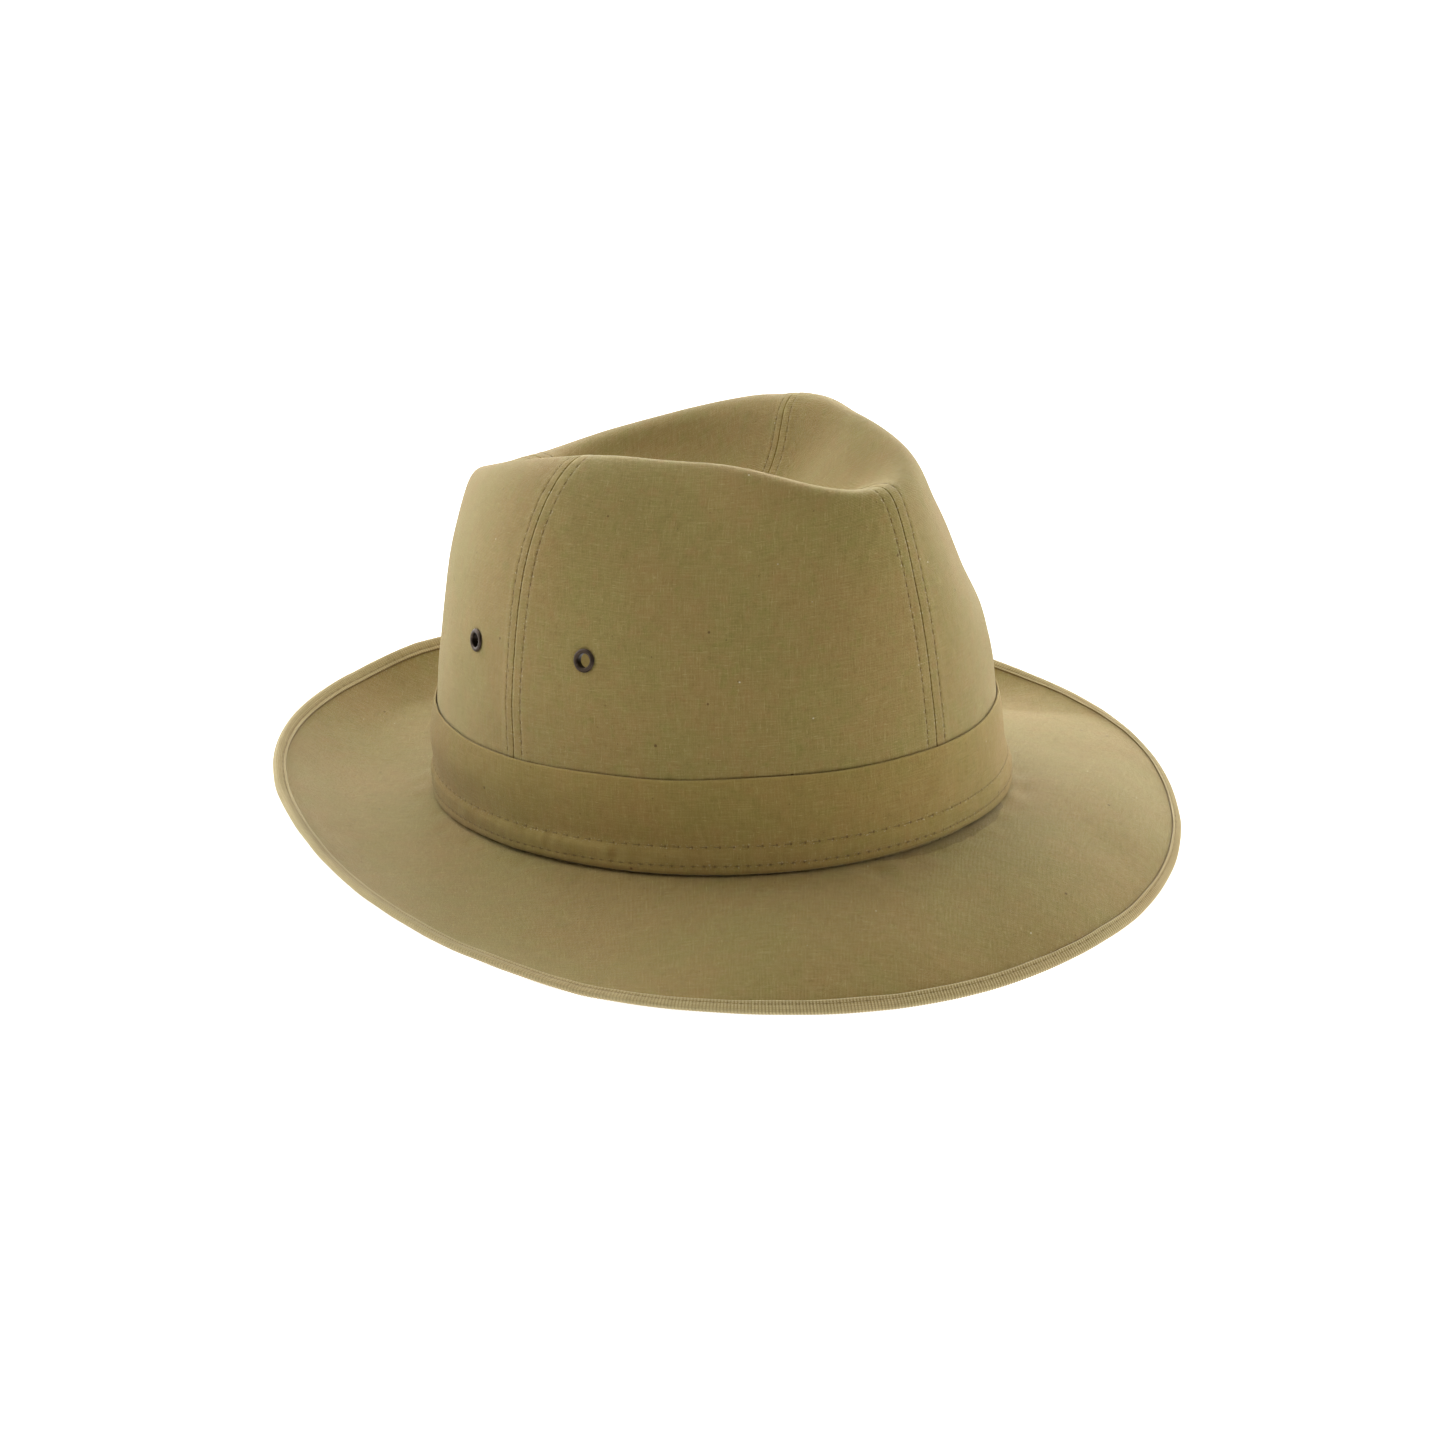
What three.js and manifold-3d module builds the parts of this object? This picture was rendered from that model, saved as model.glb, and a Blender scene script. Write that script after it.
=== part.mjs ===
// A centre-dent fedora of cotton canvas. Sizes are in millimetres and angles in degrees.
// +Z is up and the floor is Z = 0. The front of the brim points to -Y, the wearer's left is +X.
// The hat is shaped upright first, with the seam between crown and brim at height 0, and is then
// tipped back onto the floor, where it stands on the front edge and the back of its brim.
import * as THREE from 'three';
import { mergeVertices } from 'three/addons/utils/BufferGeometryUtils.js';
import Module from 'manifold-3d';

const wasm = await Module();
wasm.setup();

// The crown's outer wall where it meets the brim is an ellipse.
const BASE_HALF_LENGTH = 104.5;
const BASE_HALF_WIDTH = 86;
const CROWN_CLOTH = 1.5;
// The crest sits a little in front of the middle of the base.
const CREST_FORWARD = 2.5;

// Rings of control points of the crown, from the brim seam over the crest to the middle of the
// dent. Radius is a share of the base ellipse, and height is above the brim seam. The values of
// a ring are evenly spaced from the front to the back, five of them or nine. The pinches of the
// crown are the low radii of the shoulder between the front and the side.
const CROWN_RADIUS = [
  { ring: 'seam', values: [1, 1, 1, 1, 1] },
  { ring: 'lowWall', values: [1.015, 1.01, 1, 0.98, 0.985] },
  { ring: 'highWall', values: [0.995, 0.965, 0.935, 0.945, 0.96, 0.94, 0.915, 0.925, 0.94] },
  { ring: 'top', values: [0.905, 0.845, 0.76, 0.765, 0.81, 0.82, 0.825, 0.855, 0.87] },
  { ring: 'shoulder', values: [0.85, 0.765, 0.625, 0.58, 0.61, 0.675, 0.755, 0.83, 0.855] },
  { ring: 'crest', values: [0.65, 0.6, 0.52, 0.47, 0.47, 0.525, 0.625, 0.705, 0.735] },
  { ring: 'dentWall', values: [0.405, 0.4, 0.395, 0.41, 0.425, 0.46, 0.53, 0.61, 0.64] },
  { ring: 'dentFloor', values: [0.22, 0.19, 0.18, 0.195, 0.22] },
  { ring: 'middle', values: [0, 0, 0, 0, 0] },
];
const CROWN_HEIGHT = [
  { ring: 'seam', values: [0, 0, 0, 0, 0] },
  { ring: 'lowWall', values: [32, 32, 32, 32, 32] },
  { ring: 'highWall', values: [70, 70, 70, 70, 70] },
  { ring: 'top', values: [103.5, 101.5, 99.5, 103.5, 106.5, 103.5, 97.5, 94.5, 93.5] },
  { ring: 'shoulder', values: [117, 122, 124, 124, 123.5, 119.5, 112.5, 105, 101] },
  { ring: 'crest', values: [106.5, 117, 124, 125, 123.4, 119.2, 112.1, 105, 101] },
  { ring: 'dentWall', values: [99.5, 100.5, 101, 97.5, 93.5, 94, 96.5, 97.5, 97.5] },
  { ring: 'dentFloor', values: [90.5, 90.5, 90.5, 90.5, 90.5] },
  { ring: 'middle', values: [90.5, 90.5, 90.5, 90.5, 90.5] },
];
// The share of CREST_FORWARD that each ring takes.
const CROWN_FORWARD = [0, 0.2, 0.45, 0.7, 0.9, 1, 1, 1, 1];

// The brim: its width and its slope at the crown and at the edge, at the front, half way to the
// side, at the side, half way to the back and at the back.
const BRIM_WIDTH = [60.5, 63.5, 62.5, 58.5, 60];
const BRIM_SLOPE_CROWN = [-12.5, -10.5, -24, -6, 2.5];
const BRIM_SLOPE_EDGE = [-54.5, -31.5, 36, 46.5, 39.5];
const BRIM_CURL = 1.4;
const BRIM_CLOTH = 1.5;

// The cloth band round the foot of the crown.
const BAND_BOTTOM = 0.6;
const BAND_TOP = 31.75;
const BAND_CLOTH = 1;

// The tape folded round the edge of the brim.
const TAPE_WIDTH = 4.7;
const TAPE_CLOTH = 1;

// Four metal vent eyelets, one in front of each side seam and one behind it.
const EYELET_FRONT_ANGLE = 17;
const EYELET_FRONT_HEIGHT = 67;
const EYELET_BACK_ANGLE = 13;
const EYELET_BACK_HEIGHT = 65.5;
const EYELET_FLANGE_RADIUS = 4;
const EYELET_BORE_RADIUS = 2.2;
const EYELET_BARREL_WALL = 0.5;
const EYELET_FLANGE_THICK = 0.7;

// Room between separate pieces.
const GAP = 0.3;

// How the hat stands: tipped back, lifted onto the floor and centred over the origin. The cloth
// that would reach below the floor is pressed flat on it.
const REST_PITCH = 6.35;
const REST_LIFT = 13;
const REST_SHIFT_Y = -1.6;

// Facets.
const COLUMN_DEGREES = 6;
const PANEL_COLUMNS = 90 / COLUMN_DEGREES;
const TURN_COLUMNS = 360 / COLUMN_DEGREES;
const PANEL_ROWS = 18;
const BRIM_ROWS = 7;
const EYELET_SIDES = 20;

const RADIANS = Math.PI / 180;
const CANVAS = { color: 0x8f8058, roughness: 0.95, metalness: 0 };
const BAND_CANVAS = { color: 0x857548, roughness: 0.95, metalness: 0 };
const TAPE = { color: 0x9c8d66, roughness: 0.9, metalness: 0 };
const EYELET_METAL = { color: 0x5c5446, roughness: 0.45, metalness: 0.9 };

// The cosine series through values evenly spaced from the front to the back. It is even about the
// front, so the hat is the same on the left and on the right.
function cosineSeries(values) {
  const last = values.length - 1;
  return values.map((_, k) => {
    let sum = 0;
    values.forEach((value, j) => {
      const weight = j === 0 || j === last ? 0.5 : 1;
      sum += weight * value * Math.cos((k * j * Math.PI) / last);
    });
    return ((k === 0 || k === last ? 1 : 2) * sum) / last;
  });
}

function seriesAt(series, theta) {
  return series.reduce((sum, c, k) => sum + c * Math.cos(k * theta), 0);
}

// Weights of a clamped cubic B-spline with evenly spaced knots, s running from 0 to 1.
function splineWeights(count, s) {
  const degree = 3;
  const spans = count - degree;
  const knot = (i) => Math.min(Math.max(i - degree, 0), spans);
  const u = Math.min(s * spans, spans - 1e-9);
  let weights = [];
  for (let i = 0; i < count + degree; i++) {
    weights.push(u >= knot(i) && u < knot(i + 1) ? 1 : 0);
  }
  for (let d = 1; d <= degree; d++) {
    const next = [];
    for (let i = 0; i < count + degree - d; i++) {
      const rise = knot(i + d) - knot(i);
      const fall = knot(i + d + 1) - knot(i + 1);
      const up = rise > 0 ? ((u - knot(i)) / rise) * weights[i] : 0;
      const down = fall > 0 ? ((knot(i + d + 1) - u) / fall) * weights[i + 1] : 0;
      next.push(up + down);
    }
    weights = next;
  }
  return weights;
}

const crownRings = CROWN_RADIUS.map((row, k) => ({
  radius: cosineSeries(row.values),
  height: cosineSeries(CROWN_HEIGHT[k].values),
  forward: CROWN_FORWARD[k],
}));

// Outer face of the crown: theta goes round from the front, s from the brim seam to the middle.
function crownPoint(theta, s) {
  const weights = splineWeights(crownRings.length, s);
  const point = new THREE.Vector3();
  crownRings.forEach((ring, k) => {
    const radius = seriesAt(ring.radius, theta);
    point.x += weights[k] * radius * BASE_HALF_WIDTH * Math.sin(theta);
    point.y -= weights[k] * (radius * BASE_HALF_LENGTH * Math.cos(theta) + ring.forward * CREST_FORWARD);
    point.z += weights[k] * seriesAt(ring.height, theta);
  });
  return point;
}

function crownNormal(theta, s) {
  if (s === 1) return new THREE.Vector3(0, 0, 1);
  const step = 1e-3;
  const low = Math.max(s - step, 0);
  const round = crownPoint(theta + step, s).sub(crownPoint(theta - step, s));
  const up = crownPoint(theta, s + step).sub(crownPoint(theta, low));
  return round.cross(up).normalize();
}

// The s at which the crown's wall has a given height.
function crownShareAtHeight(theta, height) {
  let low = 0;
  let high = 0.5;
  for (let i = 0; i < 40; i++) {
    const mid = (low + high) / 2;
    if (crownPoint(theta, mid).z < height) low = mid;
    else high = mid;
  }
  return (low + high) / 2;
}

// Outward direction, in plan, of the base ellipse.
function baseNormal(theta) {
  const normal = new THREE.Vector3(
    Math.sin(theta) / BASE_HALF_WIDTH,
    -Math.cos(theta) / BASE_HALF_LENGTH,
    0,
  );
  return normal.normalize();
}

const brimWidth = cosineSeries(BRIM_WIDTH);
const brimSlopeCrown = cosineSeries(BRIM_SLOPE_CROWN);
const brimSlopeEdge = cosineSeries(BRIM_SLOPE_EDGE);

// A point of the brim's section. Along is the distance from the crown's wall along the cloth, and
// above is the distance over the middle of the cloth. The seam allowance under the wall is flat.
function brimPoint(theta, along, above) {
  const width = seriesAt(brimWidth, theta);
  const slopeCrown = seriesAt(brimSlopeCrown, theta) * RADIANS;
  const slopeEdge = seriesAt(brimSlopeEdge, theta) * RADIANS;
  const slopeAt = (t) => slopeCrown + (slopeEdge - slopeCrown) * Math.max(t, 0) ** BRIM_CURL;
  const steps = 24;
  let out = Math.min(along, 0);
  let rise = 0;
  for (let i = 0; i < steps && along > 0; i++) {
    const slope = slopeAt(((i + 0.5) / steps) * (along / width));
    out += (Math.cos(slope) * along) / steps;
    rise += (Math.sin(slope) * along) / steps;
  }
  const slope = along > 0 ? slopeAt(along / width) : 0;
  out -= Math.sin(slope) * above;
  rise += Math.cos(slope) * above - BRIM_CLOTH / 2;
  const point = new THREE.Vector3(
    BASE_HALF_WIDTH * Math.sin(theta),
    -BASE_HALF_LENGTH * Math.cos(theta),
    rise,
  );
  return point.addScaledVector(baseNormal(theta), out);
}

// Stands an upright point on the floor.
function rest(point) {
  const placed = point.clone().applyAxisAngle(new THREE.Vector3(1, 0, 0), -REST_PITCH * RADIANS);
  placed.y += REST_SHIFT_Y;
  placed.z = Math.max(placed.z + REST_LIFT, 0);
  return placed;
}

// A closed body from rings of points. Each ring is one closed section of the same length. The
// rings join up into a loop, or the first and last are closed by the strips across them. Each
// four-sided patch is split along its shorter diagonal.
function bodyFromRings(rings, isLoop) {
  const positions = [];
  const index = [];
  const length = rings[0].length;
  const points = rings.flat();
  points.forEach((point) => positions.push(point.x, point.y, point.z));
  const addTriangle = (a, b, c) => index.push(a, b, c);
  const apart = (a, b) => points[a].distanceTo(points[b]);
  const ringCount = isLoop ? rings.length : rings.length - 1;
  for (let i = 0; i < ringCount; i++) {
    const here = i * length;
    const there = ((i + 1) % rings.length) * length;
    for (let j = 0; j < length; j++) {
      const next = (j + 1) % length;
      if (apart(here + j, there + next) < apart(there + j, here + next)) {
        addTriangle(here + j, there + j, there + next);
        addTriangle(here + j, there + next, here + next);
      } else {
        addTriangle(here + j, there + j, here + next);
        addTriangle(there + j, there + next, here + next);
      }
    }
  }
  if (!isLoop) {
    const last = (rings.length - 1) * length;
    for (let j = 0; j < length / 2 - 1; j++) {
      const across = length - 1 - j;
      addTriangle(j, j + 1, across - 1);
      addTriangle(j, across - 1, across);
      addTriangle(last + j, last + across - 1, last + j + 1);
      addTriangle(last + j, last + across, last + across - 1);
    }
  }
  const geometry = new THREE.BufferGeometry();
  geometry.setAttribute('position', new THREE.Float32BufferAttribute(positions, 3));
  geometry.setIndex(index);
  return withoutCollapsedTriangles(mergeVertices(geometry, 1e-4));
}

function withoutCollapsedTriangles(geometry) {
  const old = Array.from(geometry.index.array);
  const kept = [];
  for (let i = 0; i < old.length; i += 3) {
    const [a, b, c] = old.slice(i, i + 3);
    if (a !== b && b !== c && c !== a) kept.push(a, b, c);
  }
  geometry.setIndex(kept);
  return geometry;
}

function toSolid(geometry) {
  const plain = geometry.index ? geometry : geometry.clone();
  plain.deleteAttribute('normal');
  plain.deleteAttribute('uv');
  const merged = withoutCollapsedTriangles(mergeVertices(plain, 1e-4));
  return new wasm.Manifold(new wasm.Mesh({
    numProp: 3,
    vertProperties: new Float32Array(merged.attributes.position.array),
    triVerts: new Uint32Array(merged.index.array),
  }));
}

function fromSolid(solid) {
  const mesh = solid.getMesh();
  const geometry = new THREE.BufferGeometry();
  geometry.setAttribute('position', new THREE.BufferAttribute(mesh.vertProperties, 3));
  geometry.setIndex(new THREE.BufferAttribute(mesh.triVerts, 1));
  return geometry;
}

const hat = new THREE.Group();

function addPiece(name, geometry, look) {
  const mesh = new THREE.Mesh(geometry, new THREE.MeshStandardMaterial(look));
  mesh.name = name;
  hat.add(mesh);
}

const turned = (degrees) => (degrees > 180 ? degrees - 360 : degrees) * RADIANS;

// Crown rows: the share s of each row, with the lowest just clear of the brim.
const panelShares = [];
for (let j = 0; j <= PANEL_ROWS; j++) panelShares.push(j / PANEL_ROWS);

// Two rows enclose the eyelets, so that each sits in the middle of one facet pair.
const EYELET_ROW_HALF_HEIGHT = 5.5;
const eyeletRow = panelShares.findIndex((s) => crownPoint(Math.PI / 2, s).z
  > EYELET_FRONT_HEIGHT - 2 * EYELET_ROW_HALF_HEIGHT);
function rowShares(theta, eyelet) {
  const shares = panelShares.slice();
  shares[0] = crownShareAtHeight(theta, GAP);
  shares[eyeletRow] = crownShareAtHeight(theta, eyelet.height - EYELET_ROW_HALF_HEIGHT);
  shares[eyeletRow + 1] = crownShareAtHeight(theta, eyelet.height + EYELET_ROW_HALF_HEIGHT);
  return shares;
}

const EYELETS = [
  { name: 'eyelet_left_front', degrees: 90 - EYELET_FRONT_ANGLE, height: EYELET_FRONT_HEIGHT },
  { name: 'eyelet_left_back', degrees: 90 + EYELET_BACK_ANGLE, height: EYELET_BACK_HEIGHT },
  { name: 'eyelet_right_back', degrees: 270 - EYELET_BACK_ANGLE, height: EYELET_BACK_HEIGHT },
  { name: 'eyelet_right_front', degrees: 270 + EYELET_FRONT_ANGLE, height: EYELET_FRONT_HEIGHT },
];

// Columns near an eyelet slide over, so that it sits in the middle of a facet. The columns under
// the band and over the crest stay where they are.
const SLIDE_REACH = 4 * COLUMN_DEGREES;
function columnTheta(degrees, row, eyelet) {
  const centre = (Math.floor(eyelet.degrees / COLUMN_DEGREES) + 0.5) * COLUMN_DEGREES;
  const away = Math.max(Math.abs(degrees - centre) - COLUMN_DEGREES / 2, 0);
  const above = Math.max(row - eyeletRow - 1, eyeletRow - row, 0);
  const slide = (eyelet.degrees - centre) * Math.max(1 - away / SLIDE_REACH, 0);
  return turned(degrees + slide * Math.max(1 - above / 2, 0));
}

// Each panel is a quarter of the crown. It moves off its neighbours by half a gap each way.
const PANELS = [
  { name: 'crown_front_left', from: 0, shiftX: 1, shiftY: -1 },
  { name: 'crown_back_left', from: 90, shiftX: 1, shiftY: 1 },
  { name: 'crown_back_right', from: 180, shiftX: -1, shiftY: 1 },
  { name: 'crown_front_right', from: 270, shiftX: -1, shiftY: -1 },
];

function panelShift(panel) {
  return new THREE.Vector3(panel.shiftX, panel.shiftY, 0).multiplyScalar(GAP / 2);
}

function panelGeometry(panel, eyelet) {
  const rings = [];
  for (let i = 0; i <= PANEL_COLUMNS; i++) {
    const outer = [];
    const inner = [];
    for (let row = 0; row <= PANEL_ROWS; row++) {
      const theta = columnTheta(panel.from + i * COLUMN_DEGREES, row, eyelet);
      const s = rowShares(theta, eyelet)[row];
      const point = crownPoint(theta, s).add(panelShift(panel));
      outer.push(rest(point));
      const normal = crownNormal(theta, s);
      inner.push(rest(point.clone().addScaledVector(normal, -CROWN_CLOTH)));
    }
    rings.push([...outer, ...inner.reverse()]);
  }
  return bodyFromRings(rings, false);
}

// Where an eyelet sits: the middle and outward direction of the facet pair that carries it.
function eyeletFrame(panel, eyelet) {
  const before = turned(eyelet.degrees - COLUMN_DEGREES / 2);
  const after = turned(eyelet.degrees + COLUMN_DEGREES / 2);
  const corners = [before, after].flatMap((theta) => [-1, 1].map((side) => {
    const s = crownShareAtHeight(theta, eyelet.height + side * EYELET_ROW_HALF_HEIGHT);
    return rest(crownPoint(theta, s).add(panelShift(panel)));
  }));
  const middle = corners.reduce((sum, c) => sum.add(c), new THREE.Vector3()).divideScalar(4);
  const rise = corners[3].clone().sub(corners[0]);
  const fall = corners[2].clone().sub(corners[1]);
  const outward = fall.cross(rise).normalize();
  return new THREE.Matrix4().compose(
    middle,
    new THREE.Quaternion().setFromUnitVectors(new THREE.Vector3(0, 1, 0), outward),
    new THREE.Vector3(1, 1, 1),
  );
}

// An eyelet is a barrel through the cloth with a flange on each face of it.
function eyeletGeometry() {
  const barrel = EYELET_BORE_RADIUS + EYELET_BARREL_WALL;
  const outerFace = GAP + EYELET_FLANGE_THICK;
  const innerFace = -CROWN_CLOTH - GAP - EYELET_FLANGE_THICK;
  const rounded = 0.35 * EYELET_FLANGE_THICK;
  const profile = [
    [EYELET_BORE_RADIUS, innerFace],
    [EYELET_FLANGE_RADIUS, innerFace],
    [EYELET_FLANGE_RADIUS, -CROWN_CLOTH - GAP],
    [barrel, -CROWN_CLOTH - GAP],
    [barrel, GAP],
    [EYELET_FLANGE_RADIUS, GAP],
    [EYELET_FLANGE_RADIUS, outerFace - rounded],
    [EYELET_FLANGE_RADIUS - rounded, outerFace],
    [EYELET_BORE_RADIUS + rounded, outerFace],
    [EYELET_BORE_RADIUS, outerFace - rounded],
    [EYELET_BORE_RADIUS, innerFace],
  ];
  const points = profile.map(([radius, height]) => new THREE.Vector2(radius, height));
  const geometry = new THREE.LatheGeometry(points, EYELET_SIDES);
  geometry.deleteAttribute('normal');
  geometry.deleteAttribute('uv');
  return withoutCollapsedTriangles(mergeVertices(geometry, 1e-4));
}

const holeRadius = EYELET_BORE_RADIUS + EYELET_BARREL_WALL + GAP;
PANELS.forEach((panel, number) => {
  const eyelet = EYELETS[number];
  const frame = eyeletFrame(panel, eyelet);
  const hole = new THREE.CylinderGeometry(holeRadius, holeRadius, 6 * CROWN_CLOTH, EYELET_SIDES);
  hole.applyMatrix4(frame);
  const cut = toSolid(panelGeometry(panel, eyelet)).subtract(toSolid(hole));
  addPiece(panel.name, fromSolid(cut), CANVAS);
  addPiece(eyelet.name, eyeletGeometry().applyMatrix4(frame), EYELET_METAL);
});

// The brim starts under the crown's wall and stops inside the fold of the tape.
function brimGeometry() {
  const rings = [];
  for (let i = 0; i < TURN_COLUMNS; i++) {
    const theta = turned(i * COLUMN_DEGREES);
    const width = seriesAt(brimWidth, theta);
    const distances = [-CROWN_CLOTH, 0];
    for (let j = 1; j <= BRIM_ROWS; j++) distances.push(((width - TAPE_WIDTH) * j) / BRIM_ROWS);
    distances.push(width - TAPE_CLOTH - GAP);
    const under = distances.map((d) => rest(brimPoint(theta, d, -BRIM_CLOTH / 2)));
    const upper = distances.map((d) => rest(brimPoint(theta, d, BRIM_CLOTH / 2)));
    rings.push([...under, ...upper.reverse()]);
  }
  return bodyFromRings(rings, true);
}
addPiece('brim', brimGeometry(), CANVAS);

// The tape's section, as distance in from the edge and height over the middle of the brim cloth.
const slotHalf = BRIM_CLOTH / 2 + GAP;
const tapeHalf = slotHalf + TAPE_CLOTH;
const TAPE_SECTION = [
  { in: TAPE_WIDTH, above: slotHalf },
  { in: TAPE_CLOTH, above: slotHalf },
  { in: TAPE_CLOTH, above: -slotHalf },
  { in: TAPE_WIDTH, above: -slotHalf },
  { in: TAPE_WIDTH, above: -tapeHalf },
  { in: 0.6 * tapeHalf, above: -tapeHalf },
  { in: 0, above: -0.45 * tapeHalf },
  { in: 0, above: 0.45 * tapeHalf },
  { in: 0.6 * tapeHalf, above: tapeHalf },
  { in: TAPE_WIDTH, above: tapeHalf },
];

function tapeGeometry() {
  const rings = [];
  for (let i = 0; i < TURN_COLUMNS; i++) {
    const theta = turned(i * COLUMN_DEGREES);
    const width = seriesAt(brimWidth, theta);
    rings.push(TAPE_SECTION.map((corner) => rest(brimPoint(theta, width - corner.in, corner.above))));
  }
  return bodyFromRings(rings, true);
}
addPiece('brim_binding', tapeGeometry(), TAPE);

// The band lies round the wall of the crown, clear of the shifted panels.
const BAND_HEIGHTS = [BAND_BOTTOM, 0.25 * BAND_TOP, 0.5 * BAND_TOP, 0.75 * BAND_TOP, BAND_TOP];

function bandGeometry() {
  const inside = GAP + GAP / Math.SQRT2;
  const rings = [];
  for (let i = 0; i < TURN_COLUMNS; i++) {
    const theta = turned(i * COLUMN_DEGREES);
    const face = (offset) => BAND_HEIGHTS.map((height) => {
      const point = crownPoint(theta, crownShareAtHeight(theta, height));
      return rest(point.addScaledVector(baseNormal(theta), offset));
    });
    rings.push([...face(inside + BAND_CLOTH), ...face(inside).reverse()]);
  }
  return bodyFromRings(rings, true);
}
addPiece('hat_band', bandGeometry(), BAND_CANVAS);

export default hat;
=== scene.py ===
import math

import bpy
import numpy as np
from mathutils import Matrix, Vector


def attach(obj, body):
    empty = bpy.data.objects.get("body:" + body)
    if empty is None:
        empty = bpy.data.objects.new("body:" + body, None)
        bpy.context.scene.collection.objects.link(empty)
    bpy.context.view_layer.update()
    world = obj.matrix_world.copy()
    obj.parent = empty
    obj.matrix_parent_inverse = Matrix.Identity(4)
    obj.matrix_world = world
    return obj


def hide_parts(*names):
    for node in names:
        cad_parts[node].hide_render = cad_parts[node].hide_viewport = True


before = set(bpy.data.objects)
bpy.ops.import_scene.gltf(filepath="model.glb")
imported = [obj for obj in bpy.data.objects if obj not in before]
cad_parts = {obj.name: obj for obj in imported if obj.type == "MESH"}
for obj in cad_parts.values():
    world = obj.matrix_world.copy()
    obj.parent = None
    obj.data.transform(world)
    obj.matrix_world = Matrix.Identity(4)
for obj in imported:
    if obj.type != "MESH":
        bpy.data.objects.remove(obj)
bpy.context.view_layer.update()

MM = 0.001
rng = np.random.default_rng(7)

# ---------------------------------------------------------------- sizes of the main forms
# They are those of the solids, but for the heights of the dent's wall towards the back, which
# are up to 5.5 mm lower here, the crown's cloth, which is thinner here, and TAPE_SHOWS.
BASE_HALF_LENGTH = 104.5
BASE_HALF_WIDTH = 86.0
CREST_FORWARD = 2.5
# Rings of the crown: name, share of CREST_FORWARD, radius shares, heights. The values of a ring
# are evenly spaced from the front to the back.
CROWN_RINGS = [
    ("seam", 0, (1,) * 5, (0,) * 5),
    ("low_wall", 0.2, (1.015, 1.01, 1, 0.98, 0.985), (32,) * 5),
    ("high_wall", 0.45, (0.995, 0.965, 0.935, 0.945, 0.96, 0.94, 0.915, 0.925, 0.94), (70,) * 5),
    ("top", 0.7, (0.905, 0.845, 0.76, 0.765, 0.81, 0.82, 0.825, 0.855, 0.87),
     (103.5, 101.5, 99.5, 103.5, 106.5, 103.5, 97.5, 94.5, 93.5)),
    ("shoulder", 0.9, (0.85, 0.765, 0.625, 0.58, 0.61, 0.675, 0.755, 0.83, 0.855),
     (117, 122, 124, 124, 123.5, 119.5, 112.5, 105, 101)),
    ("crest", 1, (0.65, 0.6, 0.52, 0.47, 0.47, 0.525, 0.625, 0.705, 0.735),
     (106.5, 117, 124, 125, 123.4, 119.2, 112.1, 105, 101)),
    ("dent_wall", 1, (0.405, 0.4, 0.395, 0.41, 0.425, 0.46, 0.53, 0.61, 0.64),
     (99.5, 100.5, 101, 97.5, 93.5, 93, 93, 92.5, 92)),
    ("dent_floor", 1, (0.22, 0.19, 0.18, 0.195, 0.22), (90.5,) * 5),
    ("middle", 1, (0,) * 5, (90.5,) * 5),
]

BRIM_WIDTH = (60.5, 63.5, 62.5, 58.5, 60)
BRIM_SLOPE_CROWN = (-12.5, -10.5, -24, -6, 2.5)
BRIM_SLOPE_EDGE = (-54.5, -31.5, 36, 46.5, 39.5)
BRIM_CURL = 1.4

REST_PITCH = 6.35
REST_LIFT = 13.0
REST_SHIFT_Y = -1.6

CROWN_CLOTH = 1.2
BRIM_CLOTH = 1.5
BAND_TOP = 31.75
TAPE_WIDTH = 4.7
# How much of the tape's width shows above, at angles from the front.
TAPE_SHOWS = (
    (-180, 4.9), (-165, 4.9), (-156, 4.7), (-147, 4.3), (-135, 4.2), (-128, 4.8), (-120, 5.3),
    (-100, 5.2), (-80, 4.8), (-60, 4.7), (-30, 4.8), (-9, 4.75), (0, 4.5), (12, 4.35), (24, 4.05),
    (36, 3.9), (48, 3.7), (54, 3.4), (60, 2.9), (66, 2.8), (72, 3.4), (80, 3.4), (90, 3.6),
    (120, 4.5), (180, 4.9),
)
# Angle from the front, and height, of each vent eyelet.
EYELET_PLACES = {
    "eyelet_left_front": (73.0, 67.0),
    "eyelet_left_back": (103.0, 65.5),
    "eyelet_right_back": (257.0, 65.5),
    "eyelet_right_front": (287.0, 67.0),
}

# ---------------------------------------------------------------- sizes of the sewn detail
ALLOWANCE_RISE = 0.13
# The rows of topstitching lie this far from a seam. Round the side seams they are uneven.
TOPSTITCH_FROM_SEAM = 3.75
TOPSTITCH_IN_FRONT_OF_SIDE = 4.0
TOPSTITCH_BEHIND_SIDE = 3.15
SEAM_PITCH = 3.4
SEAM_KNOT_PITCH = 2.1
TAPE_PITCH = 4.3
BAND_ROW_HEIGHTS = (3.8, 10.1)
BAND_ROW_PITCHES = (3.5, 4.45)
TAPE_ROW_IN = 3.25
RIB_PITCH = 1.05
TAPE_THREAD_PITCH = 0.72
TWIST_PITCH = 0.42
THREAD_RADIUS = 0.12
# The gap between a stitch's end and the next one's start.
CROWN_STITCH_GAP, BAND_STITCH_GAP, TAPE_STITCH_GAP = 1.5, 0.9, 0.8

# ---------------------------------------------------------------- surfaces


def cosine_series(values):
    """The cosine series through values evenly spaced from 0 to 180 degrees."""
    last = len(values) - 1
    out = []
    for k in range(len(values)):
        total = 0.0
        for j, value in enumerate(values):
            weight = 0.5 if j in (0, last) else 1.0
            total += weight * value * math.cos(k * j * math.pi / last)
        out.append((1 if k in (0, last) else 2) * total / last)
    return out


def series_at(series, theta):
    return sum(c * np.cos(k * theta) for k, c in enumerate(series))


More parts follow.
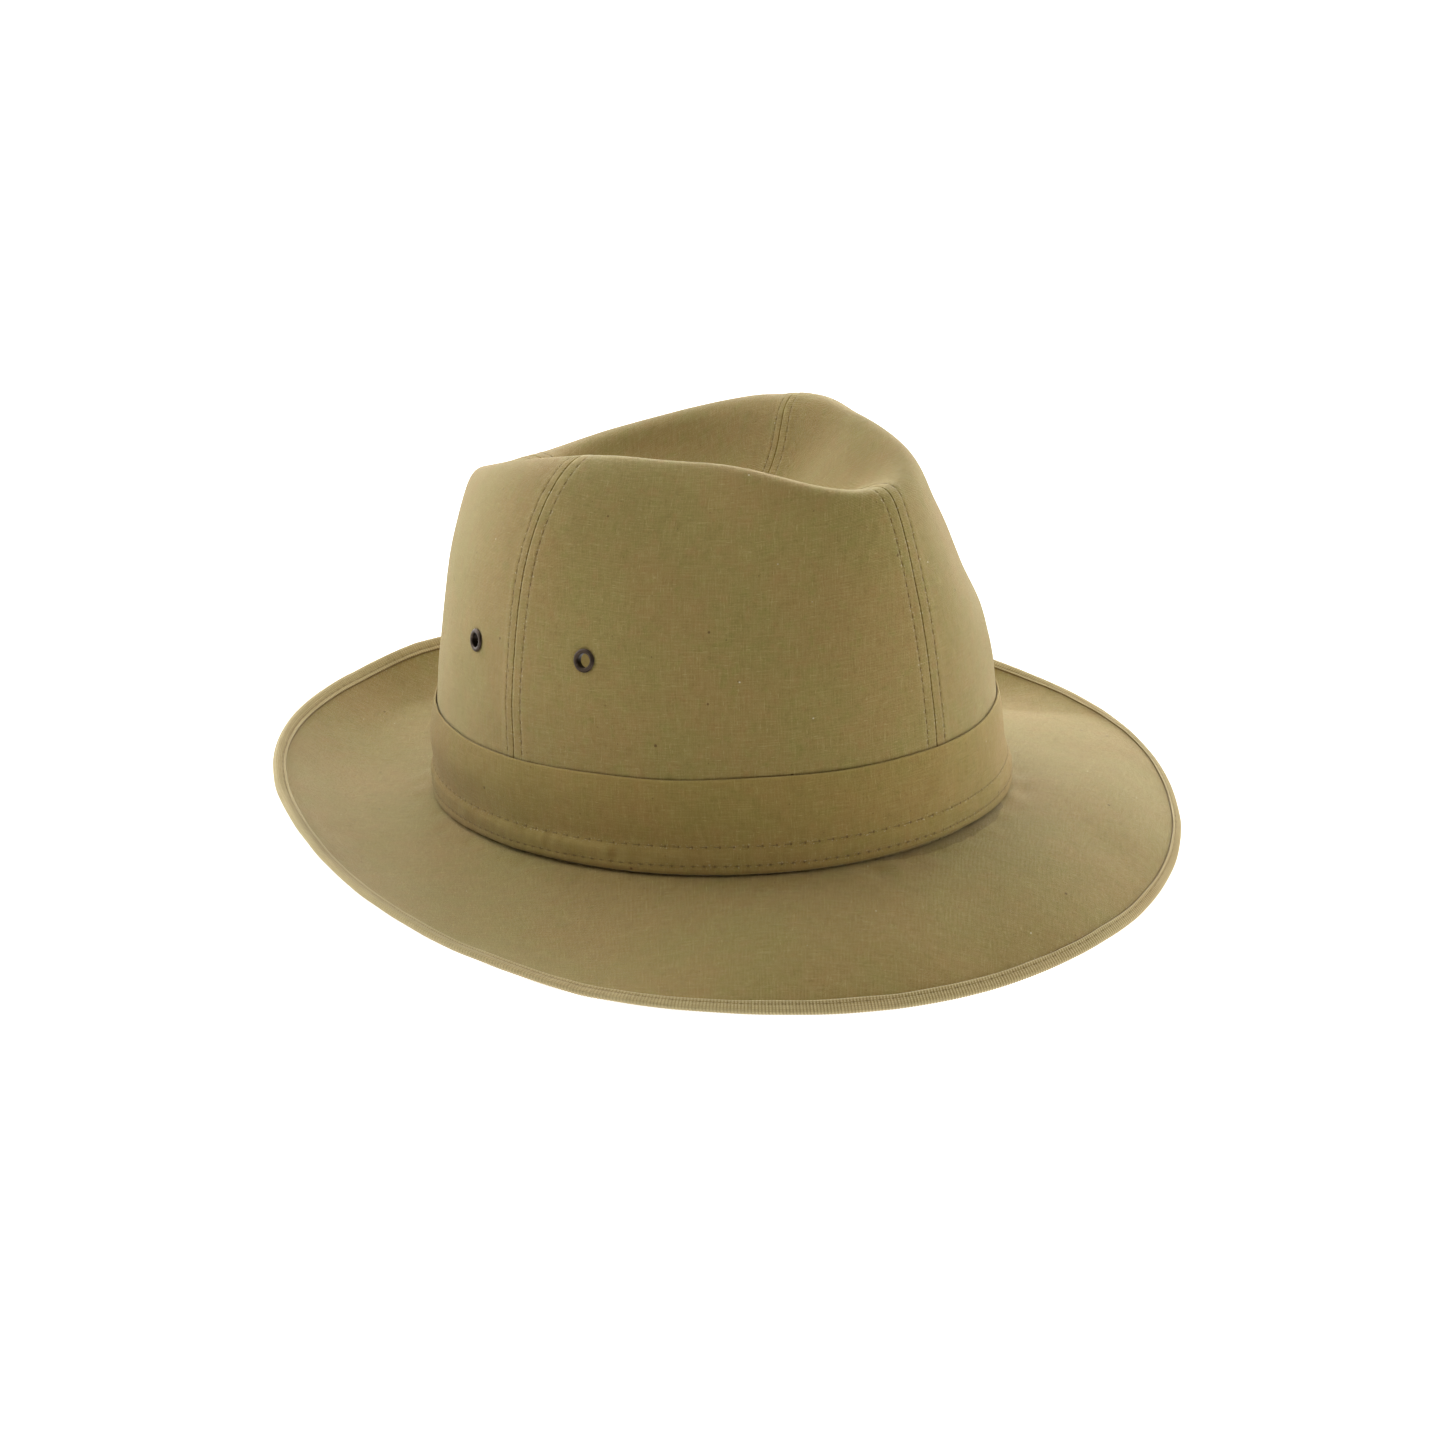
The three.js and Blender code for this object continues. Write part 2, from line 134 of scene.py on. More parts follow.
def spline_weights(count, s):
    """Weights of a clamped cubic B-spline with evenly spaced knots."""
    degree = 3
    spans = count - degree
    knots = np.clip(np.arange(count + degree + 1) - degree, 0, spans)
    u = np.minimum(np.asarray(s, float) * spans, spans - 1e-9)
    weights = [((u >= knots[i]) & (u < knots[i + 1])).astype(float) for i in range(count + degree)]
    for d in range(1, degree + 1):
        following = []
        for i in range(count + degree - d):
            rise = knots[i + d] - knots[i]
            fall = knots[i + d + 1] - knots[i + 1]
            part = np.zeros_like(u)
            if rise > 0:
                part = part + (u - knots[i]) / rise * weights[i]
            if fall > 0:
                part = part + (knots[i + d + 1] - u) / fall * weights[i + 1]
            following.append(part)
        weights = following
    return weights


RINGS = [(cosine_series(r), cosine_series(h), f) for _, f, r, h in CROWN_RINGS]


def crown_point(theta, s):
    """Outer face of the crown, for arrays theta (radians from the front) and s (0 to 1)."""
    theta, s = np.broadcast_arrays(np.asarray(theta, float), np.asarray(s, float))
    weights = spline_weights(len(RINGS), s)
    x, y, z = (np.zeros_like(theta) for _ in range(3))
    for w, (radius_series, height_series, forward) in zip(weights, RINGS):
        radius = series_at(radius_series, theta)
        x += w * radius * BASE_HALF_WIDTH * np.sin(theta)
        y -= w * (radius * BASE_HALF_LENGTH * np.cos(theta) + forward * CREST_FORWARD)
        z += w * series_at(height_series, theta)
    return np.stack([x, y, z], -1)


def share_at_height(theta, height):
    """The s at which the crown's wall has a given height."""
    theta, height = np.broadcast_arrays(np.asarray(theta, float), np.asarray(height, float))
    low, high = np.zeros(theta.shape), np.full(theta.shape, 0.5)
    for _ in range(30):
        middle = (low + high) / 2
        below = crown_point(theta, middle)[..., 2] < height
        low, high = np.where(below, middle, low), np.where(below, high, middle)
    return (low + high) / 2


def base_oval(theta, height):
    """The oval where crown and brim meet, at a height."""
    x, y = BASE_HALF_WIDTH * np.sin(theta), -BASE_HALF_LENGTH * np.cos(theta)
    return np.stack([x, y, height], -1)


def base_normal(theta):
    n = np.stack([np.sin(theta) / BASE_HALF_WIDTH, -np.cos(theta) / BASE_HALF_LENGTH,
                  np.zeros_like(theta)], -1)
    return n / np.linalg.norm(n, axis=-1, keepdims=True)


def unit(v):
    length = np.linalg.norm(v, axis=-1, keepdims=True)
    return v / np.maximum(length, 1e-12)


def crown_normal(theta, s):
    step = 1e-3
    theta, s = np.broadcast_arrays(np.asarray(theta, float), np.asarray(s, float))
    below = np.maximum(s - step, 0)
    above = np.minimum(s + step, 1)
    round_ = crown_point(theta + step, s) - crown_point(theta - step, s)
    up = crown_point(theta, above) - crown_point(theta, below)
    normal = unit(np.cross(round_, up))
    normal[s > 0.9995] = (0, 0, 1)
    return normal


BRIM_SERIES = [cosine_series(v) for v in (BRIM_WIDTH, BRIM_SLOPE_CROWN, BRIM_SLOPE_EDGE)]


def brim_width(theta):
    return series_at(BRIM_SERIES[0], theta)


def brim_frame(theta, along):
    """Middle of the brim cloth, its upward normal and its outward direction in the section."""
    theta, along = np.broadcast_arrays(np.asarray(theta, float), np.asarray(along, float))
    width = brim_width(theta)
    start = np.radians(series_at(BRIM_SERIES[1], theta))
    end = np.radians(series_at(BRIM_SERIES[2], theta))
    past = np.maximum(along, 0)
    steps = 24
    out = np.minimum(along, 0)
    rise = np.full(theta.shape, -BRIM_CLOTH / 2)
    for i in range(steps):
        slope = start + (end - start) * ((i + 0.5) / steps * past / width) ** BRIM_CURL
        out = out + np.cos(slope) * past / steps
        rise = rise + np.sin(slope) * past / steps
    slope = np.where(along > 0, start + (end - start) * (past / width) ** BRIM_CURL, 0)
    outward = base_normal(theta)
    up = np.array([0, 0, 1.0])
    point = base_oval(theta, rise) + outward * out[..., None]
    cos_, sin_ = np.cos(slope)[..., None], np.sin(slope)[..., None]
    return point, up * cos_ - outward * sin_, outward * cos_ + up * sin_


PITCH_COS = math.cos(math.radians(-REST_PITCH))
PITCH_SIN = math.sin(math.radians(-REST_PITCH))


def turn(v):
    """Turns a direction of the upright hat to how it rests."""
    x, y, z = v[..., 0], v[..., 1], v[..., 2]
    return np.stack([x, y * PITCH_COS - z * PITCH_SIN, y * PITCH_SIN + z * PITCH_COS], -1)


def rest(point):
    """Stands upright points on the floor. Cloth that would reach below it is pressed flat."""
    placed = turn(point) + np.array([0, REST_SHIFT_Y, REST_LIFT])
    placed[..., 2] = np.maximum(placed[..., 2], 0)
    return placed


def arc(points, axis=0):
    """Distance along a line of points."""
    step = np.linalg.norm(np.diff(points, axis=axis), axis=-1)
    start = np.zeros_like(np.take(step, [0], axis=axis))
    return np.concatenate([start, np.cumsum(step, axis=axis)], axis=axis)


class Ripple:
    """Smooth seeded unevenness: a few sine waves in random directions, about -1 to 1."""

    def __init__(self, wavelength, waves=9):
        direction = unit(rng.normal(size=(waves, 3)))
        length = wavelength * rng.uniform(0.7, 1.6, waves)
        self.k = direction * (2 * math.pi / length)[:, None]
        self.phase = rng.uniform(0, 2 * math.pi, waves)

    def __call__(self, p):
        return np.sin(p @ self.k.T + self.phase).mean(-1) * 2.0


def bell(x, width):
    return np.exp(-(x / width) ** 2)


def smooth_step(x, low, high):
    t = np.clip((x - low) / (high - low), 0, 1)  # low may be above high
    return t * t * (3 - 2 * t)


def look_up(table, theta, column=1):
    """Values from a column of a table whose first column is the angle from the front."""
    wrapped = (np.degrees(theta) + 180) % 360 - 180
    return np.interp(wrapped, [row[0] for row in table], [row[column] for row in table])


def by_angle(table, theta):
    """Values from a table of (angle from the front, value), smoothed a little."""
    shifts = np.radians([-4, -2, 0, 2, 4])
    return sum(look_up(table, theta + shift) for shift in shifts) / len(shifts)


def over(values, like):
    """Values round the hat, spread over a grid of the shape of another."""
    return np.broadcast_to(values[:, None], like.shape)


# ---------------------------------------------------------------- meshes


def link(name, data):
    obj = bpy.data.objects.new(name, data)
    bpy.context.scene.collection.objects.link(obj)
    return obj


def add_uv(mesh, layer, corners):
    made = mesh.uv_layers.new(name=layer)
    made.uv.foreach_set("vector", corners.astype(np.float32).ravel())


def corner_points(mesh):
    """The point that each corner of the faces uses."""
    loops = np.empty(len(mesh.loops), np.int32)
    mesh.loops.foreach_get("vertex_index", loops)
    return loops


def make_mesh(name, points, faces, uvs=None, values=None):
    """points (n, 3) in mm, at rest. faces is a list of (m, 3) or (m, 4) index arrays."""
    mesh = bpy.data.meshes.new(name)
    loops = np.concatenate([f.ravel() for f in faces])
    totals = np.concatenate([np.full(len(f), f.shape[1]) for f in faces])
    mesh.vertices.add(len(points))
    mesh.vertices.foreach_set("co", (points * MM).astype(np.float32).ravel())
    mesh.loops.add(len(loops))
    mesh.loops.foreach_set("vertex_index", loops.astype(np.int32))
    mesh.polygons.add(len(totals))
    starts = np.concatenate([[0], np.cumsum(totals)[:-1]])
    mesh.polygons.foreach_set("loop_start", starts.astype(np.int32))
    mesh.polygons.foreach_set("use_smooth", np.ones(len(totals), bool))
    for layer, uv in (uvs or {}).items():
        add_uv(mesh, layer, uv[loops])
    for key, value in (values or {}).items():
        made = mesh.attributes.new(key, "FLOAT", "POINT")
        made.data.foreach_set("value", value.astype(np.float32))
    mesh.update()
    mesh.validate()
    return link(name, mesh)


def shell(name, outer, inner, uvs, values, keep=None):
    """A closed sheet of cloth with two faces from two grids of points of the same shape."""
    rows, cols = outer.shape[:2]
    index = np.arange(rows * cols).reshape(rows, cols)
    a, b = index[:-1, :-1], index[:-1, 1:]
    c, d = index[1:, 1:], index[1:, :-1]
    if keep is None:
        keep = np.ones(a.shape, bool)
    quads = np.stack([a, b, c, d], -1)[keep]
    count = rows * cols
    faces = [quads, quads[:, ::-1] + count]
    padded = np.pad(keep, 1)
    here = padded[1:-1, 1:-1]
    sides = (((a, b), padded[:-2, 1:-1]), ((b, c), padded[1:-1, 2:]),
             ((c, d), padded[2:, 1:-1]), ((d, a), padded[1:-1, :-2]))
    for (start, end), beyond in sides:
        edge = here & ~beyond
        p, q = start[edge], end[edge]
        faces.append(np.stack([q, p, p + count, q + count], -1))
    points = np.concatenate([outer.reshape(-1, 3), inner.reshape(-1, 3)])
    both = {k: np.concatenate([v.reshape(-1, 2)] * 2) for k, v in uvs.items()}
    flags = {k: np.concatenate([o.ravel(), i.ravel()]) for k, (o, i) in values.items()}
    return make_mesh(name, points, faces, both, flags)


def tube_ring(name, grid, uvs, values):
    """A closed body from sections round the hat. grid is (around, section, 3)."""
    around, section = grid.shape[:2]
    index = np.arange(around * section).reshape(around, section)
    ahead = np.roll(index, -1, 0)
    quads = np.stack([index, ahead, np.roll(ahead, -1, 1), np.roll(index, -1, 1)], -1)
    flat = {k: v.reshape(-1) for k, v in values.items()}
    obj = make_mesh(name, grid.reshape(-1, 3), [quads.reshape(-1, 4)], None, flat)
    loops = corner_points(obj.data)
    for layer, uv in uvs.items():
        # the last section's faces close the ring, and carry the cloth on past its last column
        corner = uv.reshape(-1, 2)[loops]
        wraps = loops.reshape(-1, 4) // section
        last = wraps.max(1) - wraps.min(1) > 1
        ends = np.repeat(last, 4) & (loops // section == 0)
        corner[ends, 0] += uv[-1, 0, 0] + (uv[-1, 0, 0] - uv[-2, 0, 0]) - uv[0, 0, 0]
        add_uv(obj.data, layer, corner)
    return obj


# ---------------------------------------------------------------- camera and light
CAMERA_AZIMUTH = -43.225
CAMERA_ELEVATION = 23.021
CAMERA_DISTANCE = 1184.93
CAMERA_TARGET = (-4.671, -8.889, 37.203)
CAMERA_LENS = 89.1


def toward(azimuth, elevation):
    """The direction of a place at an azimuth from the front, and an elevation, in degrees."""
    a, e = math.radians(azimuth), math.radians(elevation)
    return Vector((math.sin(a) * math.cos(e), -math.cos(a) * math.cos(e), math.sin(e)))


def make_camera():
    data = bpy.data.cameras.new("camera")
    data.lens = CAMERA_LENS
    data.sensor_width = 36
    camera = link("camera", data)
    back = toward(CAMERA_AZIMUTH, CAMERA_ELEVATION)
    camera.location = (Vector(CAMERA_TARGET) + back * CAMERA_DISTANCE) * MM
    camera.rotation_euler = back.to_track_quat("Z", "Y").to_euler()
    bpy.context.scene.camera = camera


make_camera()

# ---------------------------------------------------------------- node helpers


class Nodes:
    """A short way to write node trees: values and sockets mix freely."""

    def __init__(self, tree):
        self.tree = tree

    def put(self, socket, value):
        if isinstance(value, bpy.types.NodeSocket):
            self.tree.links.new(value, socket)
        elif value is not None:
            socket.default_value = value

    def fill(self, node, values):
        """Sets a node's inputs by name or number. An input given as None is left alone."""
        for key, value in values.items():
            self.put(node.inputs[key], value)

    def make(self, kind, values=(), out=0, **settings):
        node = self.tree.nodes.new("ShaderNode" + kind)
        for key, value in settings.items():
            setattr(node, key, value)
        self.fill(node, values if isinstance(values, dict) else dict(enumerate(values)))
        return node.outputs[out]

    def math(self, operation, a, b=None):
        return self.make("Math", (a, b), operation=operation)

    def add(self, a, b):
        return self.math("ADD", a, b)

    def sub(self, a, b):
        return self.math("SUBTRACT", a, b)

    def mul(self, a, b):
        return self.math("MULTIPLY", a, b)

    def step(self, value, low, high, to_low=0.0, to_high=1.0):
        return self.make("MapRange", (value, low, high, to_low, to_high),
                         interpolation_type="SMOOTHSTEP")

    def bell(self, value, width):
        scaled = self.math("DIVIDE", value, width)
        return self.math("EXPONENT", self.mul(self.mul(scaled, scaled), -1.0))

    def vector(self, x, y, z=0.0):
        return self.make("CombineXYZ", (x, y, z))

    def noise(self, vector, scale, detail=2.0, rough=0.5, distortion=0.0):
        return self.make("TexNoise", {"Vector": vector, "Scale": scale, "Detail": detail,
                                      "Roughness": rough, "Distortion": distortion}, "Fac")

    def yarns(self, u, v, across, along, offset):
        """Noise drawn out into yarns that run along v, or along u where across is the smaller."""
        stretched = self.vector(self.mul(u, across), self.mul(v, along), offset)
        return self.noise(stretched, 1.0, 2, 0.6)

    def spots(self, u, v, across, along, offset, rare, start, full):
        """Scattered spots, of which a share is left out at random."""
        place = self.vector(self.mul(u, across), self.mul(v, along), offset)
        facts = {"Vector": place, "Scale": 1.0, "Randomness": 1.0}
        far = self.make("TexVoronoi", facts, "Distance")
        chance = self.make("SeparateColor", (far.node.outputs["Color"],))
        return self.mul(self.step(far, start, full), self.math("GREATER_THAN", chance, rare))

    def mix(self, factor, a, b, kind="MIX"):
        return self.make("Mix", {0: factor, 6: a, 7: b}, 2, data_type="RGBA", blend_type=kind,
                         clamp_factor=True)

    def layers(self, base, rows):
        """Mixes colours in, one over another. Each row is a value, where the colour starts and
        where it is full, its strength there, and the colour."""
        for value, start, full, strength, tint in rows:
            base = self.mix(self.step(value, start, full, 0.0, strength), base, tint)
        return base

    def uv(self, layer):
        first = self.make("SeparateXYZ", (self.make("UVMap", uv_map=layer),))
        return first, first.node.outputs[1]

    def value_of(self, attribute):
        return self.make("Attribute", out="Fac", attribute_name=attribute)

    def place(self):
        return self.make("TexCoord", out="Object")

    def bump(self, height, distance, strength=1.0, normal=None):
        return self.make("Bump", {"Strength": strength, "Distance": distance, "Height": height,
                                  "Normal": normal})


def colour(red, green, blue):
    """An sRGB colour, 0 to 255, as the linear colour Blender works in."""
    out = []
    for part in (red, green, blue):
        part /= 255
        out.append(part / 12.92 if part <= 0.04045 else ((part + 0.055) / 1.055) ** 2.4)
    return (*out, 1.0)


def darker(light, share):
    """A share of an sRGB colour."""
    return colour(*(int(part * share) for part in light))


def new_material(name):
    material = bpy.data.materials.new(name)
    material.use_nodes = True
    nodes = Nodes(material.node_tree)
    return material, nodes, material.node_tree.nodes["Principled BSDF"]


# ---------------------------------------------------------------- cloth
THREAD_PITCH = 0.42
CANVAS = colour(143, 124, 73)
CANVAS_WARM = colour(152, 121, 74)
CANVAS_GREEN = colour(134, 126, 67)
CANVAS_DARK = colour(108, 91, 46)
CANVAS_LIGHT = colour(177, 161, 104)
FLECK_DARK = colour(78, 52, 22)
LINT = colour(218, 210, 178)
SEAM_SHADE = colour(74, 48, 4)
SHEEN_TINT = colour(250, 243, 222)
SHEEN_ROUGH = 0.4
TAPE_LIGHT = colour(198, 182, 140)
# depths of the bumps, in metres
MOTTLE_DEPTH = 0.0004
WEAVE_DEPTH = 0.00015
FINE_DEPTH = 0.00006
# How far yarns wander from straight lines, in mm.
YARN_SWAY = 1.4
# Scattered in the cloth: how close together along weft and warp, an offset, the share left out,
# the distances at which a spot starts and is full, and its strength. Slubs are thick places in
# single yarns, and go both ways of the cloth.
SLUBS = (
    (0.30, 1.9, 0.0, 0.9, 0.3, 0.12, 0.5), (1.9, 0.30, 9.0, 0.9, 0.3, 0.12, 0.5),
    (0.11, 2.1, 40.0, 0.93, 0.3, 0.12, 0.38), (2.1, 0.11, 49.0, 0.93, 0.3, 0.12, 0.38),
)
HUSK = (
    (0.115, 0.115, 90.0, 0.75, 0.075, 0.0375, 0.75), (0.3, 0.3, 120.0, 0.8, 0.11, 0.055, 0.4),
)
LINT_SPOTS = ((0.1, 0.13, 140.0, 0.6, 0.045, 0.02, 0.7),)


def stitch_shade(n, away, along, rows):
    """Painted shade where needle and thread press the cloth in: a dark mark at each stitch and a
    faint darker channel along the row. Each row is its distance from the seam, its pitch, the
    length and width of a mark, and how dark it is."""
    shade_marks = None
    for distance, pitch, length, width, dark in rows:
        across = n.bell(n.sub(away, distance), width)
        share = n.math("FRACT", n.add(n.math("DIVIDE", along, pitch), 0.5))
        near = n.step(n.math("ABSOLUTE", n.mul(n.sub(share, 0.5), pitch)),
                      length * 0.62, length * 0.38)
        wide = n.mul(n.bell(n.sub(away, distance), width * 2.2), dark * 0.1)
        this = n.add(n.mul(n.mul(across, near), dark), wide)
        shade_marks = this if shade_marks is None else n.math("MAXIMUM", shade_marks, this)
    return shade_marks


def paint_shade_and_light(n, base, shade, rub_and_painted_light, lit_colour):
    """Paints shade by the shade attribute, and paints light by the rub attribute, as strongly as
    given.
    """
    base = n.mix(n.mul(n.value_of("shade"), shade), base, SEAM_SHADE)
    return n.mix(n.mul(n.value_of("rub_and_painted_light"), rub_and_painted_light), base, lit_colour)


def canvas(name, rows=(), tint=(1, 1, 1), sheen=0.38, blotch=1.0):
    """Plain-woven cotton canvas.
    UV layer "cloth" is the place in the cloth in mm, along weft and warp. UV layer "seam" is the
    distance from and along the seam or edge in mm, and rows are rows of stitches beside it.
    The shade attribute is painted shade in seams, gaps, folds and stitch channels, the rub
    attribute is painted light on lit folds and edges and over parts of the cloth, and the overhang
    attribute is a painted shadow, above 0 under the band's loose foot. Blotch is how strong the
    drifts of hue are."""
    material, n, shader = new_material(name)
    u, v = n.uv("cloth")
    place = n.place()
    sway = n.noise(place, 110.0, 2)
    sway_across = n.noise(n.vector(v, u, 3.0), 0.06, 2)
    wu = n.add(u, n.mul(n.sub(sway, 0.5), YARN_SWAY))
    wv = n.add(v, n.mul(n.sub(sway_across, 0.5), YARN_SWAY))

    # each yarn has its own shade, changing along it
    warp_yarn = n.yarns(wu, wv, 2.6, 0.13, 0.0)
    weft_yarn = n.yarns(wu, wv, 0.13, 2.6, 7.0)
    wave_u, wave_v = (n.math("SINE", n.mul(w, math.pi / THREAD_PITCH)) for w in (wu, wv))
    crown_u, crown_v = (n.math("ABSOLUTE", wave) for wave in (wave_u, wave_v))
    on_top = n.step(n.mul(wave_u, wave_v), -0.25, 0.25)
    under = n.sub(1.0, on_top)
    height = n.add(n.mul(on_top, n.mul(crown_u, 0.9)), n.mul(under, n.mul(crown_v, 0.8)))
    weave = n.add(n.mul(height, 0.75), n.mul(n.mul(crown_u, crown_v), 0.35))

    yarn = n.add(n.mul(on_top, warp_yarn), n.mul(under, weft_yarn))
    streak = n.add(n.mul(warp_yarn, 0.5), n.mul(weft_yarn, 0.5))
    hue = n.noise(place, 240.0, 3, 0.6)
    mottle = n.noise(place, 420.0, 3, 0.6)
    broad = n.noise(place, 30.0, 3, 0.55)
    fibre = n.noise(place, 1900.0, 3, 0.65)

    base = n.mix(n.step(broad, 0.34, 0.66), CANVAS_WARM, CANVAS_GREEN)
    base = n.mix(0.62, base, CANVAS)
    # among the drifts of tone, the weave's hollows are darker: painted shade between the yarns
    base = n.layers(base, (
        (hue, 0.47, 0.3, 0.55 * blotch, CANVAS_WARM), (hue, 0.53, 0.7, 0.6 * blotch, CANVAS_GREEN),
        (streak, 0.42, 0.7, 0.3, CANVAS_LIGHT), (streak, 0.48, 0.3, 0.24, CANVAS_DARK),
        (yarn, 0.5, 0.75, 0.27, CANVAS_LIGHT), (mottle, 0.5, 0.72, 0.22, CANVAS_DARK),
        (weave, 0.55, 0.1, 0.55, CANVAS_DARK), (fibre, 0.52, 0.78, 0.36, CANVAS_LIGHT),
        (fibre, 0.46, 0.24, 0.34, CANVAS_DARK)))
    for spots, across, along, shown in ((SLUBS, wu, wv, CANVAS_LIGHT), (HUSK, u, v, FLECK_DARK),
                                        (LINT_SPOTS, u, v, LINT)):
        for *facts, strength in spots:
            base = n.mix(n.mul(n.spots(across, along, *facts), strength), base, shown)

    if rows:
        away, along = n.uv("seam")
        fluff = n.step(n.noise(n.vector(n.mul(away, 1.5), n.mul(along, 1.1)), 1.0, 2, 0.7),
                       0.55, 0.72, 0.0, 0.55)
        for distance, *_ in rows:
            beside = n.bell(n.sub(n.math("ABSOLUTE", n.sub(away, distance)), 0.45), 0.4)
            base = n.mix(n.mul(beside, fluff), base, LINT)
        # painted shade at the stitches beside the seam
        base = n.mix(stitch_shade(n, away, along, rows), base, SEAM_SHADE)
    # painted shadow on the brim under the band's loose foot, then painted shade and painted light
    # by attribute
    base = n.layers(base, ((n.value_of("band_foot_shadow"), 0.05, 0.5, 0.4, SEAM_SHADE),))
    base = paint_shade_and_light(n, base, 0.85, 0.45, CANVAS_LIGHT)
    if tint != (1, 1, 1):
        base = n.mix(1.0, base, (*tint, 1.0), "MULTIPLY")
    relief = n.add(n.add(weave, n.mul(fibre, 0.5)), n.mul(yarn, 0.6))
    n.fill(shader, {
        "Base Color": base, "Roughness": n.step(weave, 0.0, 1.0, 0.97, 0.84),
        "Specular IOR Level": 0.25, "Sheen Weight": sheen, "Sheen Roughness": SHEEN_ROUGH,
        "Sheen Tint": SHEEN_TINT,
        "Normal": n.bump(relief, WEAVE_DEPTH, 0.75, n.bump(mottle, MOTTLE_DEPTH, 0.3))})
    return material


def tape_material():
    """Grosgrain binding tape. The ribs are modelled, and the fine cross threads are here."""
    material, n, shader = new_material("binding_tape")
    u, v = n.uv("cloth")
    place = n.place()
    ribs = n.math("SINE", n.mul(u, 2 * math.pi / RIB_PITCH))
    threads = n.math("SINE", n.mul(v, 2 * math.pi / TAPE_THREAD_PITCH))
    dots = n.mul(n.step(ribs, -0.6, 1.0), n.step(threads, -0.7, 0.9))
    broad = n.noise(place, 24.0, 3, 0.55)
    fibre = n.noise(place, 2600.0, 2, 0.6)
    base = n.mix(n.step(broad, 0.35, 0.65), colour(172, 152, 106), colour(166, 151, 104))
    # painted highlight on the crests of the ribs and cross threads, and painted shade in the
    # grooves between the ribs
    base = n.layers(base, (
        (dots, 0.15, 0.85, 0.5, TAPE_LIGHT), (ribs, -0.2, -0.95, 0.6, colour(116, 98, 60)),
        (n.yarns(u, v, 0.05, 2.2, 3.0), 0.4, 0.7, 0.3, colour(196, 180, 138)),
        (n.yarns(u, v, 1.2, 0.2, 9.0), 0.45, 0.75, 0.3, colour(134, 116, 76)),
        (fibre, 0.55, 0.8, 0.2, TAPE_LIGHT)))
    # painted shade at the tape's stitches
    shade_marks = stitch_shade(n, v, u, ((TAPE_ROW_IN, TAPE_PITCH, 1.5, 0.26, 0.5),))
    base = n.mix(shade_marks, base, SEAM_SHADE)
    relief = n.add(n.mul(dots, 0.8), n.mul(fibre, 0.3))
    n.fill(shader, {
        "Base Color": paint_shade_and_light(n, base, 0.9, 0.6, colour(206, 192, 152)),
        "Roughness": n.step(dots, 0.0, 1.0, 0.92, 0.78), "Specular IOR Level": 0.3,
        "Sheen Weight": 0.4, "Sheen Roughness": SHEEN_ROUGH, "Sheen Tint": SHEEN_TINT,
        "Normal": n.bump(relief, WEAVE_DEPTH, 0.8)})
    return material


def thread_material(name, light):
    """Twisted sewing thread, tone on tone."""
    material, n, shader = new_material(name)
    u, v = n.uv("cloth")
    turns = n.mul(n.add(u, n.mul(v, 1.2)), 2 * math.pi / TWIST_PITCH)
    twist = n.math("SINE", turns)
    broad = n.noise(n.place(), 180.0, 2)
    # darker in the grooves of the twist: painted shade
    base = n.mix(n.step(twist, -0.6, 0.8), darker(light, 0.74), colour(*light))
    n.fill(shader, {
        "Base Color": n.layers(base, ((broad, 0.35, 0.65, 0.35, darker(light, 0.85)),)),
        "Roughness": n.step(twist, -1.0, 1.0, 0.8, 0.55), "Specular IOR Level": 0.15,
        "Sheen Weight": 0.12, "Sheen Tint": SHEEN_TINT,
        "Normal": n.bump(twist, FINE_DEPTH, 0.8)})
    return material


def metal_material():
    """Antiqued eyelet metal: dark in the hollows, polished bright on the rims by use."""
    material, n, shader = new_material("eyelet_metal")
    place = n.place()
    patina = n.noise(place, 900.0, 4, 0.65)
    scratch = n.noise(place, 3200.0, 3, 0.7, 0.6)
    bright = n.add(n.value_of("rub_and_painted_light"), n.mul(n.sub(patina, 0.5), 0.9))
    base = n.mix(n.step(bright, 0.3, 1.0), colour(62, 52, 44), colour(166, 148, 128))
    base = n.layers(base, ((patina, 0.5, 0.75, 0.4, colour(84, 70, 58)),))
    base = n.mix(n.mul(n.value_of("shade"), 0.9), base, colour(28, 24, 22))
    rough = n.step(n.add(scratch, n.mul(patina, 0.5)), 0.5, 1.0, 0.34, 0.58)
    n.fill(shader, {
        "Base Color": base, "Metallic": 0.85, "Roughness": rough,
        "Normal": n.bump(n.add(n.mul(scratch, 0.5), patina), FINE_DEPTH, 0.5)})
    return material


# ---------------------------------------------------------------- how cloth lies
soft_crown = Ripple(46.0)
fine_crown = Ripple(17.0)
soft_band = Ripple(38.0)
fine_band = Ripple(12.0)
soft_brim = Ripple(52.0)
fine_brim = Ripple(19.0)
seam_jitter = Ripple(5.2)
BAND_TOP_WAVE = 0.3
SEAM_ROLL = 0.5
# Distances from a seam at which the rise over its allowance starts and stops fading.
ALLOWANCE_EDGE = (4.9, 7.4)


def eyelet_frame(name):
    degrees, height = EYELET_PLACES[name]
    theta = np.radians(np.array(degrees))
    s = share_at_height(theta, height)
    return crown_point(theta, s), crown_normal(theta, s)


EYELETS = {name: eyelet_frame(name) for name in EYELET_PLACES}


def near_eyelet(point):
    """Distance to the closest eyelet."""
    return np.min([np.linalg.norm(point - centre, axis=-1) for centre, _ in EYELETS.values()], 0)


def band_top(theta):
    wave = Ripple(60.0)
    wave.k, wave.phase = soft_band.k, soft_band.phase + 1.3
    return BAND_TOP + BAND_TOP_WAVE * wave(base_oval(theta, np.zeros_like(theta)))


